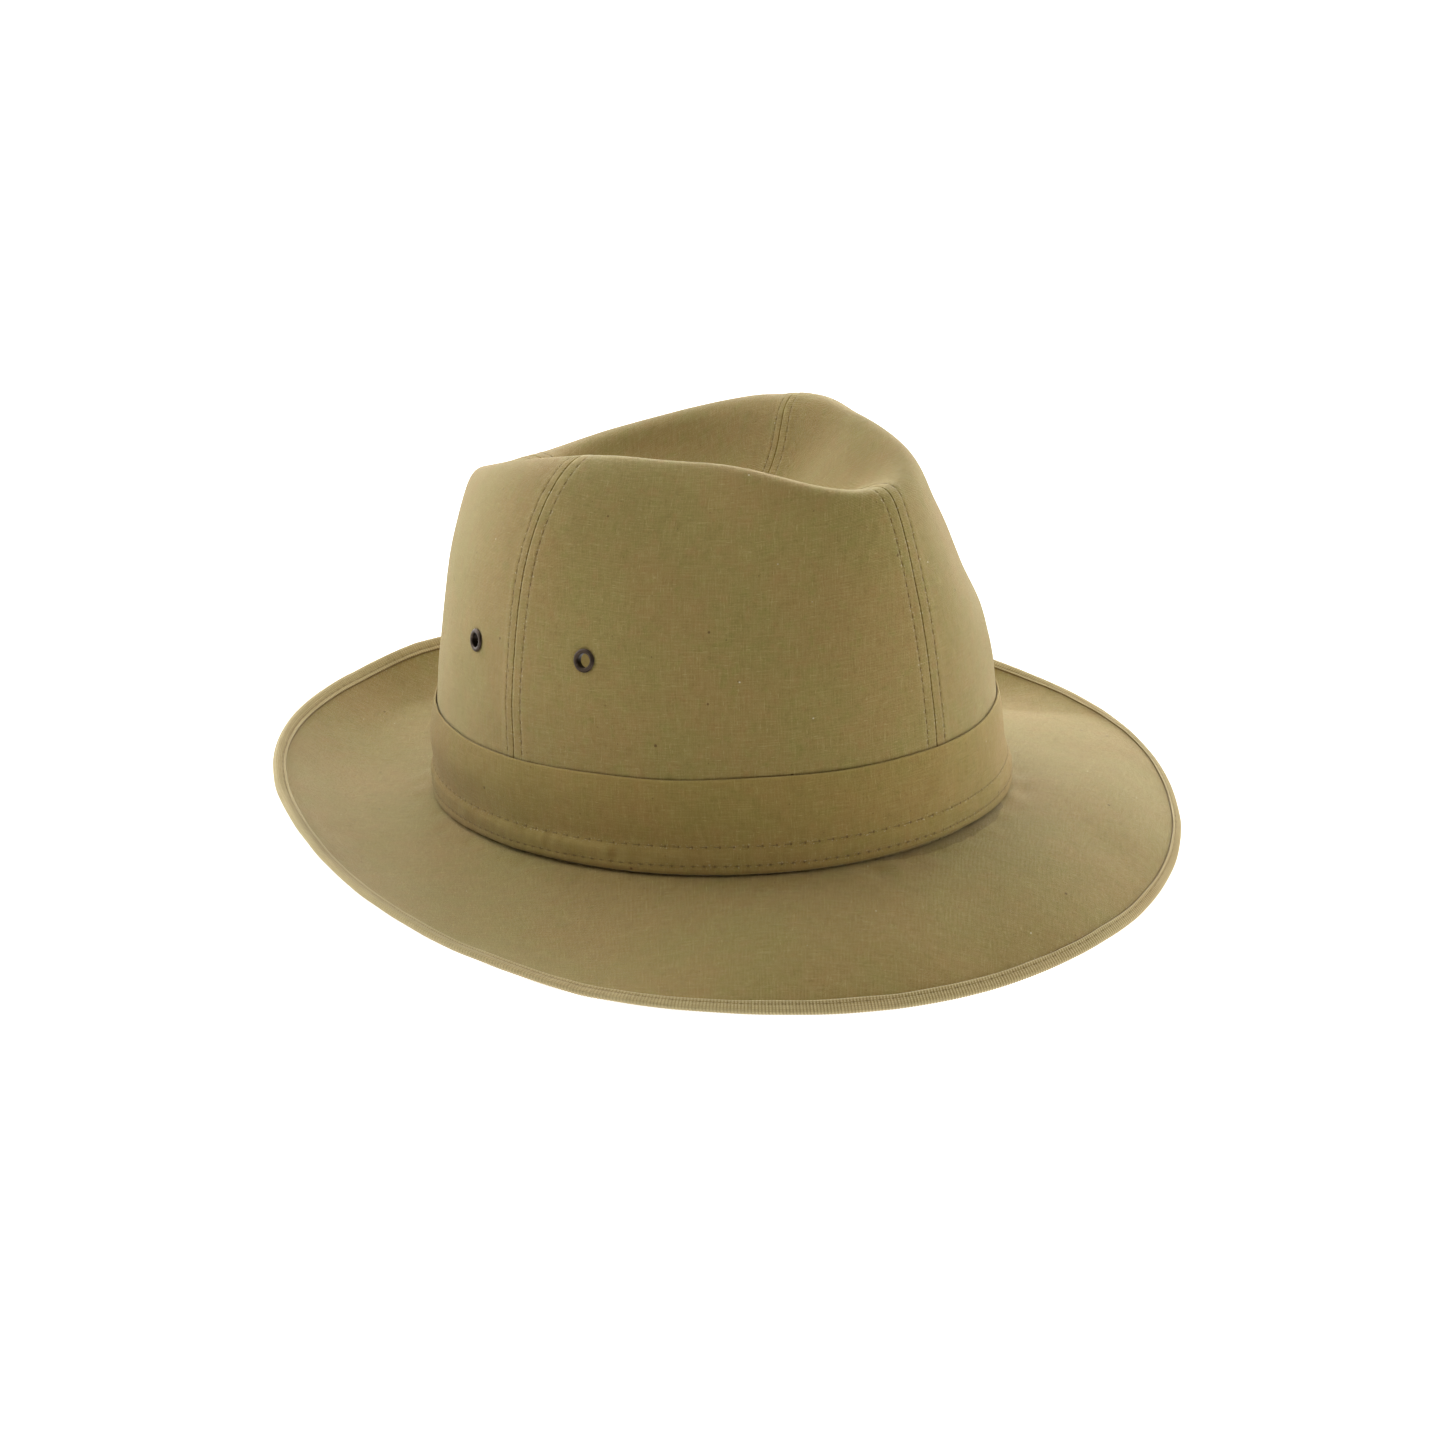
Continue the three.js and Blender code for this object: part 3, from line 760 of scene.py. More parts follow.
def seam_rise(away, along, point):
    """How far a crown panel's outer face stands out near its seam."""
    inside = np.maximum(SEAM_ROLL - away, 0)
    roll = np.sqrt(np.maximum(SEAM_ROLL ** 2 - inside ** 2, 0)) - SEAM_ROLL
    rise = ALLOWANCE_RISE * (1 - smooth_step(away, *ALLOWANCE_EDGE))
    channel = -0.06 * bell(away - TOPSTITCH_FROM_SEAM, 0.4)
    share = (along / SEAM_PITCH + 0.5) % 1 - 0.5
    pit = -0.08 * bell(away - TOPSTITCH_FROM_SEAM, 0.35) * bell(share * SEAM_PITCH, 0.7)
    puff = 0.05 * bell(away - 1.9, 1.1) * (0.6 - np.cos(2 * np.pi * share))
    pucker = 0.09 * seam_jitter(point) * bell(away - 3.0, 3.0)
    return roll + rise + channel + pit + puff + pucker


# Where this crown is fuller (above 0) or flatter than the even shape: place, reach and height.
CROWN_FULLNESS = (
    ((50.5, 8, 121), 10, -0.4), ((46.5, -21, 122.4), 13, 0.65), ((33.8, -56.3, 121.2), 11, -0.4),
    ((28.8, -77, 110.6), 9, 0.45), ((35.6, -79, 93), 9, 0.65), ((48, -75, 74), 8, -0.4),
    ((52.7, -76.6, 58.5), 8, 0.6), ((48.6, -84.3, 45.4), 8, 0.6),
)
# How much painted light brightens the crown's outside, at angles from the front.
CROWN_PAINTED_LIGHT = (
    (-180, 0.12), (-150, 0.24), (-125, 0.3), (-106, 0.24), (-92, 0), (160, 0), (180, 0.12),
)


def crown_lift(point, away, along):
    """Height of the crown cloth's outer face over crown_point."""
    open_cloth = smooth_step(point[..., 2], 34, 50)
    calm = (1 - bell(near_eyelet(point), 9.0)) * (1 - 0.75 * smooth_step(point[..., 2], 92, 112))
    lift = (0.42 * soft_crown(point) + 0.10 * fine_crown(point)) * open_cloth * calm
    dip = -0.14 * bell(near_eyelet(point) - 3.9, 0.8)
    full = sum(height * bell(np.linalg.norm(point - place, axis=-1), reach)
               for place, reach, height in CROWN_FULLNESS)
    return lift + seam_rise(away, along, point) + dip + full


# ---------------------------------------------------------------- crown panels
PANELS = {
    "crown_front_left": 0, "crown_back_left": 90, "crown_back_right": 180,
    "crown_front_right": 270,
}
SEAM_COLUMNS = (0, 0.06, 0.14, 0.25, 0.38, 0.52, 0.75, 1.2, 1.9, 2.6, 3.1, 3.4, 3.6, 3.75, 3.9,
                4.1, 4.4, 4.9, 5.5, 6.1, 6.8, 7.5, 8.1, 8.5, 8.8)
MIDDLE_COLUMNS = 62
CROWN_ROWS = 236
HOLE_RADIUS = 2.9
FLAP_WIDTH = 8.4
FLAP_CLOTH = 0.5
# The panels are cut from one cloth, this far apart.
PANEL_OFFSET = 37.0
# The share of the way from the brim to the crown's middle where its seams start and stop
# opening out flat.
SEAM_OPENS = (0.48, 0.54)


def crown_rows():
    """Values of s evenly spaced along a meridian."""
    s = np.linspace(0, 1, 2001)
    lengths = sum(arc(crown_point(np.full_like(s, math.radians(a)), s)) for a in (20, 90, 160)) / 3
    return np.interp(np.linspace(0, lengths[-1], CROWN_ROWS), lengths, s)


def middle_columns(first, last, dense):
    """Shares of a panel's open middle, closer together round the given share."""
    t = np.linspace(0, 1, 400)
    density = 1 + 1.5 * bell(t - dense, 0.06)
    total = np.concatenate([[0], np.cumsum((density[1:] + density[:-1]) / 2)])
    even = np.linspace(0, total[-1], MIDDLE_COLUMNS)
    return first + (last - first) * np.interp(even, total, t)


def row_distance(seam_degrees, in_front):
    """Distance from a crown seam to its row of topstitching, on the side nearer the front."""
    if seam_degrees % 180 == 0:
        return TOPSTITCH_FROM_SEAM
    return TOPSTITCH_IN_FRONT_OF_SIDE if in_front else TOPSTITCH_BEHIND_SIDE


def corners_of(faces):
    """The points at the corners of the chosen faces of a grid."""
    padded = np.pad(faces, 1)
    return padded[1:, 1:] | padded[:-1, 1:] | padded[1:, :-1] | padded[:-1, :-1]


def crown_panel(name, start, material):
    s = crown_rows()
    fine = np.radians(start + np.linspace(0, 90, 361))
    theta_fine, s_fine = np.meshgrid(fine, s)
    distance = arc(crown_point(theta_fine, s_fine), 1)
    width = distance[:, -1]
    edge = np.array(SEAM_COLUMNS, float)
    eyelet = next(k for k, place in EYELET_PLACES.items() if start < place[0] < start + 90)
    angle, height = math.radians(EYELET_PLACES[eyelet][0]), EYELET_PLACES[eyelet][1]
    level = int(np.argmin(np.abs(crown_point(angle, s)[:, 2] - height) + (s > 0.5) * 1e3))
    eyelet_at = np.interp(angle, fine, distance[level])
    shrink = np.minimum(1, width * 0.36 / edge[-1])
    dense = (eyelet_at - edge[-1]) / (width[level] - 2 * edge[-1])
    place = np.empty((len(s), 2 * len(edge) + MIDDLE_COLUMNS - 2))
    for i, (w, k) in enumerate(zip(width, shrink)):
        left, right = edge * k, w - edge[::-1] * k
        place[i] = np.concatenate([left, middle_columns(left[-1], right[0], dense)[1:-1], right])
    theta = np.stack([np.interp(p, d, fine) for p, d in zip(place, distance)])
    s_grid = np.broadcast_to(s[:, None], theta.shape)

    # the eyelet's hole: points close to its rim are drawn onto it
    centre, _ = EYELETS[eyelet]
    base = crown_point(theta, s_grid)
    middle = (base[:-1, :-1] + base[1:, 1:] + base[:-1, 1:] + base[1:, :-1]) / 4
    keep = np.linalg.norm(middle - centre, axis=-1) > HOLE_RADIUS
    rim = corners_of(~keep) & corners_of(keep)

    in_front = start in (0, 270)
    away_left = place * TOPSTITCH_FROM_SEAM / row_distance(start, in_front)
    away_right = (width[:, None] - place) * TOPSTITCH_FROM_SEAM / row_distance(start + 90, in_front)
    away = np.minimum(away_left, away_right)
    lengths = arc(base, 0)
    along = np.where(away_left < away_right, lengths[:, :1], lengths[:, -1:])
    normal = crown_normal(theta, s_grid)
    lift = crown_lift(base, away, along)
    outer = base + normal * lift[..., None]
    flap = FLAP_CLOTH * (1 - smooth_step(away, FLAP_WIDTH - 0.3, FLAP_WIDTH + 0.1))
    flap *= smooth_step(away, 0.1, 0.9)
    depth = lift - seam_rise(away, along, base) - CROWN_CLOTH - flap
    inner = base + normal * depth[..., None]
    for grid in (outer, inner):
        offset = grid[rim] - centre
        length = np.linalg.norm(offset, axis=-1, keepdims=True)
        grid[rim] = centre + offset * (np.maximum(length, HOLE_RADIUS) / length)

    u = place - (width / 2)[:, None]
    rise = np.linalg.norm(np.diff(base, axis=0), axis=-1)
    slip = np.diff(u, axis=0)
    climb = np.sqrt(np.maximum(rise ** 2 - slip ** 2, (0.3 * rise) ** 2))
    v = np.concatenate([np.zeros((1, theta.shape[1])), np.cumsum(climb, 0)])
    grain = PANEL_OFFSET * (start / 90 + 1)
    # past the crest the seams lie open and flat, and are less dark
    inside = smooth_step(s, *SEAM_OPENS)[:, None]
    # painted shade in the crack of each seam, along each row of topstitching, round each eyelet and
    # just above the band
    shade_out = (0.8 * bell(away, 0.15) * (1 - 0.85 * inside)
                 + 0.08 * bell(away - TOPSTITCH_FROM_SEAM, 0.35))
    shade_out = shade_out + 0.25 * bell(near_eyelet(base) - 3.75, 0.45)
    under_band = base[..., 2] - band_top(theta)
    shade_out = np.maximum(shade_out, 0.25 * smooth_step(under_band, 0.4, 0.0))
    # painted highlight on the folded edge of the cloth beside each seam, stronger on the front
    # panels' side of the side seams; a faint lighter line along the edge of each allowance; lighter
    # near the seams high on the crown; and painted light over the crown's outside by angle
    side_edge = away_right < away_left if start in (0, 180) else away_left < away_right
    fold = np.where(in_front & side_edge, 1.1, 0.45)
    painted_light_out = fold * bell(away - 0.45, 0.22) * (1 + 0.7 * seam_jitter(base * 1.8))
    painted_light_out = painted_light_out + 0.1 * bell(away - 5.2, 0.9)
    raised = smooth_step(base[..., 2], 100, 118) * (1 - smooth_step(away, 3.2, 4.2))
    painted_light_out = painted_light_out + 0.35 * raised * (0.8 + seam_jitter(base))
    painted_light_out = painted_light_out + by_angle(CROWN_PAINTED_LIGHT, theta) * (1 - inside)
    # painted shade along the seams on the inner face
    shade_in = 0.6 * bell(away, 0.5)
    # painted light over the whole inner face, standing in for light that shines through the crown
    painted_light_in = np.full_like(shade_in, 0.9)
    seam = np.stack([away + inside * bell(away, 0.6), along], -1)
    obj = shell(name, rest(outer), rest(inner),
                {"cloth": np.stack([u + grain, v + grain], -1), "seam": seam},
                {"shade": (shade_out, shade_in), "rub_and_painted_light": (painted_light_out, painted_light_in)}, keep)
    obj.data.materials.append(material)
    return obj


# ---------------------------------------------------------------- hat band
BAND_COLUMNS = 780
BAND_CLEAR = 0.1
BAND_CLOTH = 0.8
# Angles of the sections round the band's folds, in degrees.
FOLD_ANGLES = (28, 56, 84, 112, 140, 165)


def seam_distance(theta, radius=95.0):
    """Distance round the hat to the closest crown seam, in mm."""
    share = np.abs((theta / (math.pi / 2) + 0.5) % 1 - 0.5)
    return share * math.pi / 2 * radius


# At angles from the front: the height of the band's lower edge, how far its foot stands out,
# how far its folded hem stands out from the rest, how far it billows above the hem, how much
# painted shade darkens it, and how much painted light lightens its hem.
BAND_HEM = (
    (-180, 0.6), (-130, 0.5), (-117, 0.5), (-108, 1.1), (-93, 1.35), (-75, 1.35), (-60, 0.95),
    (-30, 0.95), (-15, 1.2), (-6, 1.5), (-2, 1.75), (3, 1.55), (12, 1.15), (18, 0.7), (26, 0.4),
    (60, 0.4), (180, 0.6),
)
BAND_FLARE = (
    (-180, 0), (5, 0), (20, 0.6), (32, 1.7), (42, 2.3), (54, 2.3), (80, 0.8), (110, 0), (180, 0),
)
BAND_HEM_STEP = (
    (-180, 0.3), (-140, 0.8), (-118, 1.1), (-95, 0.9), (-70, 0.7), (-50, 0.4), (0, 0.3), (180, 0.3),
)
BAND_BILLOW = ((-180, 0), (-145, 0.6), (-125, 1.3), (-108, 1.1), (-88, 0.2), (-70, 0), (180, 0))
BAND_PAINTED_SHADE = ((-180, 0.1), (-145, 0.16), (-118, 0.2), (-104, 0.1), (-90, 0), (160, 0), (180, 0.1))
BAND_HEM_PAINTED_LIGHT = (
    (-180, 0.2), (-115, 0.25), (-95, 0.4), (-88, 0.75), (-80, 1), (-68, 0.9), (-55, 0.5),
    (-40, 0.25), (0, 0.1), (180, 0.2),
)


def band_outside(theta, height):
    """Outer face of the band."""
    s = share_at_height(theta, np.maximum(height, 0.02))
    base = crown_point(theta, s)
    base[..., 2] = height
    normal = crown_normal(theta, np.maximum(s, 1e-3))
    over_seam = (ALLOWANCE_RISE + 0.12) * bell(seam_distance(theta), 8.0)
    billow = 0.2 + bell(height - 19, 9) * (0.4 + 0.3 * soft_band(base))
    billow = billow * smooth_step(band_top(theta) - height, 0.0, 5.0)
    rows = sum(bell(height - h, 0.5) for h in BAND_ROW_HEIGHTS)
    puff = 0.14 * bell(height - sum(BAND_ROW_HEIGHTS) / 2, 2.0) * (1 + fine_band(base))
    lift = BAND_CLEAR + BAND_CLOTH + over_seam + billow - 0.12 * rows + puff
    lift = lift + 0.06 * fine_band(base)
    lift = lift + by_angle(BAND_FLARE, theta) * (1 - smooth_step(height, 3, 17))
    lift = lift + by_angle(BAND_HEM_STEP, theta) * (1 - smooth_step(height, 7.6, 11.4))
    lift = lift + by_angle(BAND_BILLOW, theta) * bell(height - 21, 7)
    return base, normal, lift


def make_band(material):
    theta = np.linspace(0, 2 * math.pi, BAND_COLUMNS, endpoint=False)
    top = band_top(theta)[:, None]
    fold = BAND_CLOTH * 0.62
    low = by_angle(BAND_HEM, theta)[:, None] + fold
    heights = np.concatenate([
        np.linspace(0.0, 1.6, 4), np.linspace(2.1, 4.3, 7), np.linspace(4.9, 8.5, 5),
        np.linspace(9.0, 11.2, 7), np.linspace(12.2, 27.6, 12), [28.6, 29.4, 30.2, 30.9]])
    share = heights / heights[-1]
    outside = low + (top - fold - low) * share
    spread = over(theta, outside)
    base, normal, lift = band_outside(spread, outside)
    face = base + normal * lift[..., None]
    down = np.array([0, 0, 1.0])

    def bend(column, sign):
        """The rounded fold at the top (+1) or bottom (-1)."""
        arcs = []
        edge, n_ = face[:, column], normal[:, column]
        flat = unit(n_ * [1, 1, 0])
        for angle in np.radians(FOLD_ANGLES):
            back = BAND_CLOTH * 0.5 * (1 - math.cos(angle))
            up = fold * math.sin(angle)
            arcs.append(edge - flat * back + down * sign * up)
        return np.stack(arcs, 1)

    top_fold, bottom_fold = bend(-1, 1), bend(0, -1)
    back_heights = np.linspace(1, 0, 6)
    back = low + (top - fold - low) * back_heights
    spread_back = over(theta, back)
    base_b, normal_b, lift_b = band_outside(spread_back, back)
    behind = base_b + normal_b * (lift_b - BAND_CLOTH)[..., None]
    section = np.concatenate([face, top_fold, behind, bottom_fold[:, ::-1]], 1)
    around = arc(np.concatenate([face[:, 15], face[:1, 15]]))[:-1]
    length = arc(section, 1)
    v = length.copy()
    v[:, -bottom_fold.shape[1]:] -= arc(np.concatenate([section, section[:, :1]], 1), 1)[:, -1:]
    u = over(around, v)
    folds = len(FOLD_ANGLES)
    height_here = np.concatenate(
        [outside, np.repeat(top, folds, 1), back, np.repeat(top * 0, folds, 1)], 1)
    is_face = np.zeros(v.shape[1], bool)
    is_face[:len(heights)] = True
    seam_v = np.where(is_face, height_here, -20)
    # painted shade along the rows of stitches and at the lower edge, over the band by angle, and in
    # the top fold and the part behind it
    shade = sum(0.06 * bell(height_here - h, 0.4) for h in BAND_ROW_HEIGHTS) * is_face
    shade = shade + 0.3 * bell(height_here - low, 0.5) + by_angle(BAND_PAINTED_SHADE, theta)[:, None]
    # painted highlight along the top fold, and patchy painted light on the hem by angle
    rub_and_painted_light = 0.5 * bell(height_here - top, 0.6)
    hem = smooth_step(height_here - low, 0.5, 1.5) * (1 - smooth_step(height_here, 8, 13))
    rest_of_section = np.repeat(face[:, -1:], section.shape[1] - len(heights), 1)
    hem_points = np.concatenate([face, rest_of_section], 1)
    fluff = 0.75 + 0.5 * fine_band(hem_points * 2.5)
    rub_and_painted_light = rub_and_painted_light + by_angle(BAND_HEM_PAINTED_LIGHT, theta)[:, None] * hem * fluff
    rub_and_painted_light[:, len(heights) + 3:] = 0
    shade[:, len(heights) + 4:len(heights) + 12] = 0.7
    obj = tube_ring("hat_band_cloth", rest(section),
                    {"cloth": np.stack([u, v], -1), "seam": np.stack([seam_v, u], -1)},
                    {"shade": shade, "rub_and_painted_light": rub_and_painted_light})
    obj.data.materials.append(material)
    return obj


# ---------------------------------------------------------------- brim
BRIM_COLUMNS = 420
BRIM_HALF = 0.6
# The cloth's grain runs at this angle to the brim, and its two faces are cut this far apart.
BRIM_GRAIN = 45.0
UNDERSIDE_OFFSET = 400
# The clearance of the brim's upper face over the floor.
FLOOR_CLEARANCE = 0.15
# The brim's cloth starts this far out from the crown's foot, and ends this far short of the edge.
BRIM_START = -1.2
BRIM_SHORT = 1.15
# At angles from the front: how far the edge of this brim lifts from the even shape, and how far
# its cloth reaches beyond it.
EDGE_DRIFT = (
    (-180, 1.5, 0), (-174, 0.8, 0), (-168, 0.1, 0), (-160, 0.1, 0), (-150, 0.3, 0.2),
    (-138, 0.2, 0.3), (-126, 0, 0), (-116, 0.5, -0.2), (-106, 0.9, -0.3), (-96, 1.3, -0.7),
    (-84, 1.2, -0.95), (-72, 0.9, -0.9), (-60, 0.5, -0.6), (-48, 0.8, -0.8), (-36, 0.5, -0.8),
    (-24, 0.1, -0.4), (-12, 0, -0.6), (0, 0, -0.9), (8, 0, -0.8), (16, 0, -0.1), (30, 0, 0.1),
    (48, 0.2, 0.2), (60, 0.4, 0.3), (72, 0.4, 0.2), (90, 0, 0), (170, 0.3, 0), (180, 1.5, 0),
)
# How far out from the crown the brim lies in the shadow of the band's loose foot.
BAND_OVERHANG = (
    (-180, -2), (-22, -2), (-16, 2.2), (-11, 3.6), (-4, 4.3), (6, 4.8), (15, 5.0), (21, 4.4),
    (26, 2.0), (32, -2), (180, -2),
)
# How far the middle of this brim swells from the even shape, every 15 degrees from the front,
# as the heights of one wave and of two waves across the brim.
BRIM_SWELL = (
    (-1.3, -0.7, 0.4, 2.1, 3.9, 4.0, 1.9, 0.4, 0.4, 0, 0, -0.2,
     -1.6, -2.2, -1.4, 0.4, 1.7, 3.0, 3.3, 1.0, -1.9, -2.1, -1.4, -1.3),
    (0.1, 0, 0, 0, -0.2, -0.1, 0, 0, 0, 0, 0, -0.1,
     0.1, 0.3, 0.1, -0.1, 0, 0, 0, 0.2, 0.2, -0.1, -0.3, 0),
)
SWELL_PARTS = 10
# The thin line of painted shade along the tape's inner edge: how far off it lies, how long each of
# its marks is, and at which angles from the front it slips under the tape (where the table is above
# 0).
TAPE_LINE_AWAY = 0.12
TAPE_LINE_PITCH = 1000.0
TAPE_LINE_HIDDEN = ((-180, 0), (-118, 0), (-106, 1.2), (-16, 1.2), (-2, 0), (180, 0))
# A shallow crease across this brim, on its +X side, from crown to edge: two points on it in plan,
# its depth, how rounded it is, and how far it reaches behind it and in front of it.
CREASE_FROM = np.array([121.0, -22.7])
CREASE_TO = np.array([135.9, -47.4])
CREASE_DEPTH = 0.7
CREASE_ROUND = 1.5
CREASE_BEHIND = 8.0
CREASE_BEFORE = 11.0


def brim_crease(point, share):
    """Depth of the crease at a place on the brim."""
    line = unit(CREASE_TO - CREASE_FROM)
    from_start = point[..., :2] - CREASE_FROM
    along = from_start @ line
    behind = from_start @ np.array([-line[1], line[0]])
    reach = np.where(behind > 0, CREASE_BEHIND, CREASE_BEFORE)
    depth = CREASE_DEPTH * np.exp(-(np.hypot(behind, CREASE_ROUND) - CREASE_ROUND) / reach)
    ends = smooth_step(along, -26, -10) * (1 - smooth_step(along, 45, 75))
    return depth * ends * (1 - smooth_step(share, 0.88, 1.0))


def brim_swell(theta, share):
    """A smooth closed wave through the values of BRIM_SWELL."""
    across = np.clip(share, 0, 1) * math.pi
    total = 0
    for waves, values in enumerate(BRIM_SWELL, 1):
        parts = np.fft.rfft(values) / len(values)
        height = parts[0].real
        for k in range(1, SWELL_PARTS):
            turned = k * theta
            height = height + 2 * (parts[k].real * np.cos(turned) - parts[k].imag * np.sin(turned))
        total = total + height * np.sin(waves * across)
    return total


def brim_face(theta, along, above):
    """The brim's cloth above (or below) its middle, at a distance out from the crown."""
    share = along / brim_width(theta)
    point, up, out = brim_frame(theta, along)
    lift = (0.55 * soft_brim(point) + 0.13 * fine_brim(point)) * smooth_step(along, 4, 30)
    # pressed-in pleats where the brim is eased into the crown seam
    ease = 0.3 * bell(along - 6, 5) * fine_brim(point * 1.7) + brim_swell(theta, share)
    ease = ease + 0.4 * (1 - smooth_step(along, 1.5, 8)) - brim_crease(point, share)
    drift = np.maximum(share, 0) ** 3
    point = point + out * (look_up(EDGE_DRIFT, theta, 2) * drift)[..., None]
    point = point + np.array([0, 0, 1.0]) * (look_up(EDGE_DRIFT, theta, 1) * drift)[..., None]
    return point + up * (above + lift + ease)[..., None]


def there_and_back(values):
    """Values of a section of the brim, out along its upper face and back along its lower one."""
    return np.concatenate([values, values[:, ::-1]], 1)


def make_brim(material):
    theta = np.linspace(0, 2 * math.pi, BRIM_COLUMNS, endpoint=False)
    width = brim_width(theta)
    share = np.concatenate([np.linspace(0, 0.12, 9), np.linspace(0.135, 0.86, 32),
                            np.linspace(0.875, 1, 11)])
    along = BRIM_START + (width[:, None] - BRIM_SHORT - BRIM_START) * share
    spread = over(theta, along)
    top = brim_face(spread, along, np.full(along.shape, BRIM_HALF))
    under = brim_face(spread, along, np.full(along.shape, -BRIM_HALF))
    section = np.concatenate([top, under[:, ::-1]], 1)
    half_count = along.shape[1]
    is_top = np.arange(2 * half_count) < half_count
    plan = base_oval(theta, np.zeros_like(theta))[:, :2]
    flat = plan[:, None] + base_normal(theta)[:, None, :2] * along[..., None]
    grain = math.radians(BRIM_GRAIN)
    flat = flat @ np.array([[math.cos(grain), -math.sin(grain)],
                            [math.sin(grain), math.cos(grain)]])
    cloth = np.concatenate([flat, flat[:, ::-1] + UNDERSIDE_OFFSET], 1)
    inward = there_and_back(width[:, None] - along)
    shows = by_angle(TAPE_SHOWS, theta)[:, None]
    tape_edge = inward - np.where(is_top, shows, 2 * TAPE_WIDTH - shows)
    # painted shade beside the tape's inner edge and near the band
    shade = 0.05 * bell(tape_edge, 0.7)
    near_band = there_and_back(along)
    shade = shade + 0.12 * bell(near_band - 1.2, 0.7)
    # a painted shadow on the brim under the band's loose foot
    band_foot_shadow = by_angle(BAND_OVERHANG, theta)[:, None] - near_band
    band_foot_shadow = band_foot_shadow + 0.35 * fine_brim(section * 4)
    band_foot_shadow[:, half_count:] = -9
    around = arc(np.concatenate([top[:, -1], top[:1, -1]]))[:-1]
    line_away = tape_edge + by_angle(TAPE_LINE_HIDDEN, theta)[:, None]
    seam = np.stack([line_away, over(around, inward)], -1)
    placed = rest(section)
    # where the middle of the brim would reach the floor, its upper face stays clear of it
    clear = placed[:, :half_count, 2]
    least = 2 * BRIM_HALF + FLOOR_CLEARANCE
    lifted = least + np.where(clear < least + 1, np.exp(clear - least - 1), clear - least)
    clear += (lifted - clear) * (1 - smooth_step(along / width[:, None], 0.75, 0.9))
    obj = tube_ring("brim_cloth", placed, {"seam": seam},
                    {"shade": shade, "rub_and_painted_light": shade * 0, "band_foot_shadow": band_foot_shadow})
    add_uv(obj.data, "cloth", cloth.reshape(-1, 2)[corner_points(obj.data)])
    obj.data.materials.append(material)
    return obj


# ---------------------------------------------------------------- binding tape
TAPE_CLOTH = 0.42
RIB_SAMPLES = 4
# How much painted highlight lightens the tape's inner edge, at angles from the front.
TAPE_EDGE_HIGHLIGHT = (
    (-180, 0.4), (-60, 0.8), (-36, 0.75), (-20, 0.5), (10, 0.3), (40, 0.1), (120, 0.3), (180, 0.4),
)
# How much painted shade darkens the tape's upper face, at angles from the front.
TAPE_PAINTED_SHADE = ((-180, 0), (-122, 0.04), (-106, 0.12), (-70, 0.15), (-54, 0.08), (-42, 0), (180, 0))
RIB_RISE = 0.085
# Nominal gap between the brim's cloth and the tape, and how far in the selvedge begins.
TAPE_CLEAR = 0.03
SELVEDGE = 4.1
# (distance in from the brim's edge, rise over the tape's plain face), from the selvedge out
TAPE_FACE = (
    (TAPE_WIDTH, -0.16), (4.5, 0.1), (4.22, 0.1), (3.95, 0.03), (3.5, -0.04), (TAPE_ROW_IN, -0.1),
    (3.0, -0.04), (2.2, 0), (1.3, 0),
)


def edge_length():
    theta = np.linspace(0, 2 * math.pi, 2881)
    return theta, arc(brim_face(theta, brim_width(theta), np.zeros_like(theta)))


def make_binding(material):
    theta_fine, length = edge_length()
    ribs = int(round(length[-1] / RIB_PITCH))
    count = ribs * RIB_SAMPLES
    at = np.linspace(0, length[-1], count, endpoint=False)
    theta = np.interp(at, length, theta_fine)
    width = brim_width(theta)
    wobble = 0.12 * fine_brim(np.stack([at, at * 0, at * 0], -1))
    half = BRIM_HALF + TAPE_CLEAR
    radius = half + TAPE_CLOTH
    outer = [(inward, radius + rise) for inward, rise in TAPE_FACE]
    edge = [(radius - radius * math.cos(a), radius * math.sin(a))
            for a in map(math.radians, (60, 30, 0, -30, -60))]
    section = outer + edge + [(inward, -rise) for inward, rise in reversed(outer)]
    section += [(TAPE_WIDTH - 0.05, -half), (TAPE_WIDTH - 0.05, half)]
    inward = np.array([q[0] for q in section])
    above = np.array([q[1] for q in section])
    shows = by_angle(TAPE_SHOWS, theta)[:, None] / TAPE_WIDTH
    along = width[:, None] - inward * np.where(above > 0, shows, 2 - shows)
    selvedge = (inward > SELVEDGE) & (np.abs(above) > half)
    along = along - wobble[:, None] * selvedge
    spread = over(theta, along)
    ribbed = np.abs(above) > half + 0.01
    ribbed |= np.abs(inward) < 1.2
    phase = np.arange(count) % RIB_SAMPLES / RIB_SAMPLES
    rib = RIB_RISE * np.cos(2 * np.pi * phase)[:, None] * ribbed
    rib = rib * np.where(inward > SELVEDGE, 0.35, 1)
    point = brim_face(spread, along, np.broadcast_to(above, along.shape))
    _, up, out = brim_frame(spread, along)
    lean = np.clip((1.4 - inward) / 1.4, 0, 1)
    direction = unit(up * (np.sign(above) * (1 - lean * 0.999))[None, :, None]
                     + out * lean[None, :, None])
    point = point + direction * rib[..., None]
    cloth = np.stack([over(at, along), np.broadcast_to(inward, along.shape)], -1)
    upper = (above > 0) * smooth_step(inward, 0.2, 1.2) * (1 - smooth_step(inward, 3.6, 4.2))
    # painted shade at the tape's inner end, and over its upper face by angle
    shade = 0.9 * bell(inward - TAPE_WIDTH, 0.1) + by_angle(TAPE_PAINTED_SHADE, theta)[:, None] * upper
    # painted highlight on the inner edge by angle, and on the rounded outer edge
    rub_and_painted_light = (by_angle(TAPE_EDGE_HIGHLIGHT, theta)[:, None] * bell(inward - 4.4, 0.22)
           + 0.4 * bell(inward, 0.8))
    obj = tube_ring("brim_binding_tape", rest(point), {"cloth": cloth},
                    {"shade": shade, "rub_and_painted_light": rub_and_painted_light})
    obj.data.materials.append(material)
    return obj, theta_fine, length


# ---------------------------------------------------------------- stitches


STITCH_SINK = 0.34
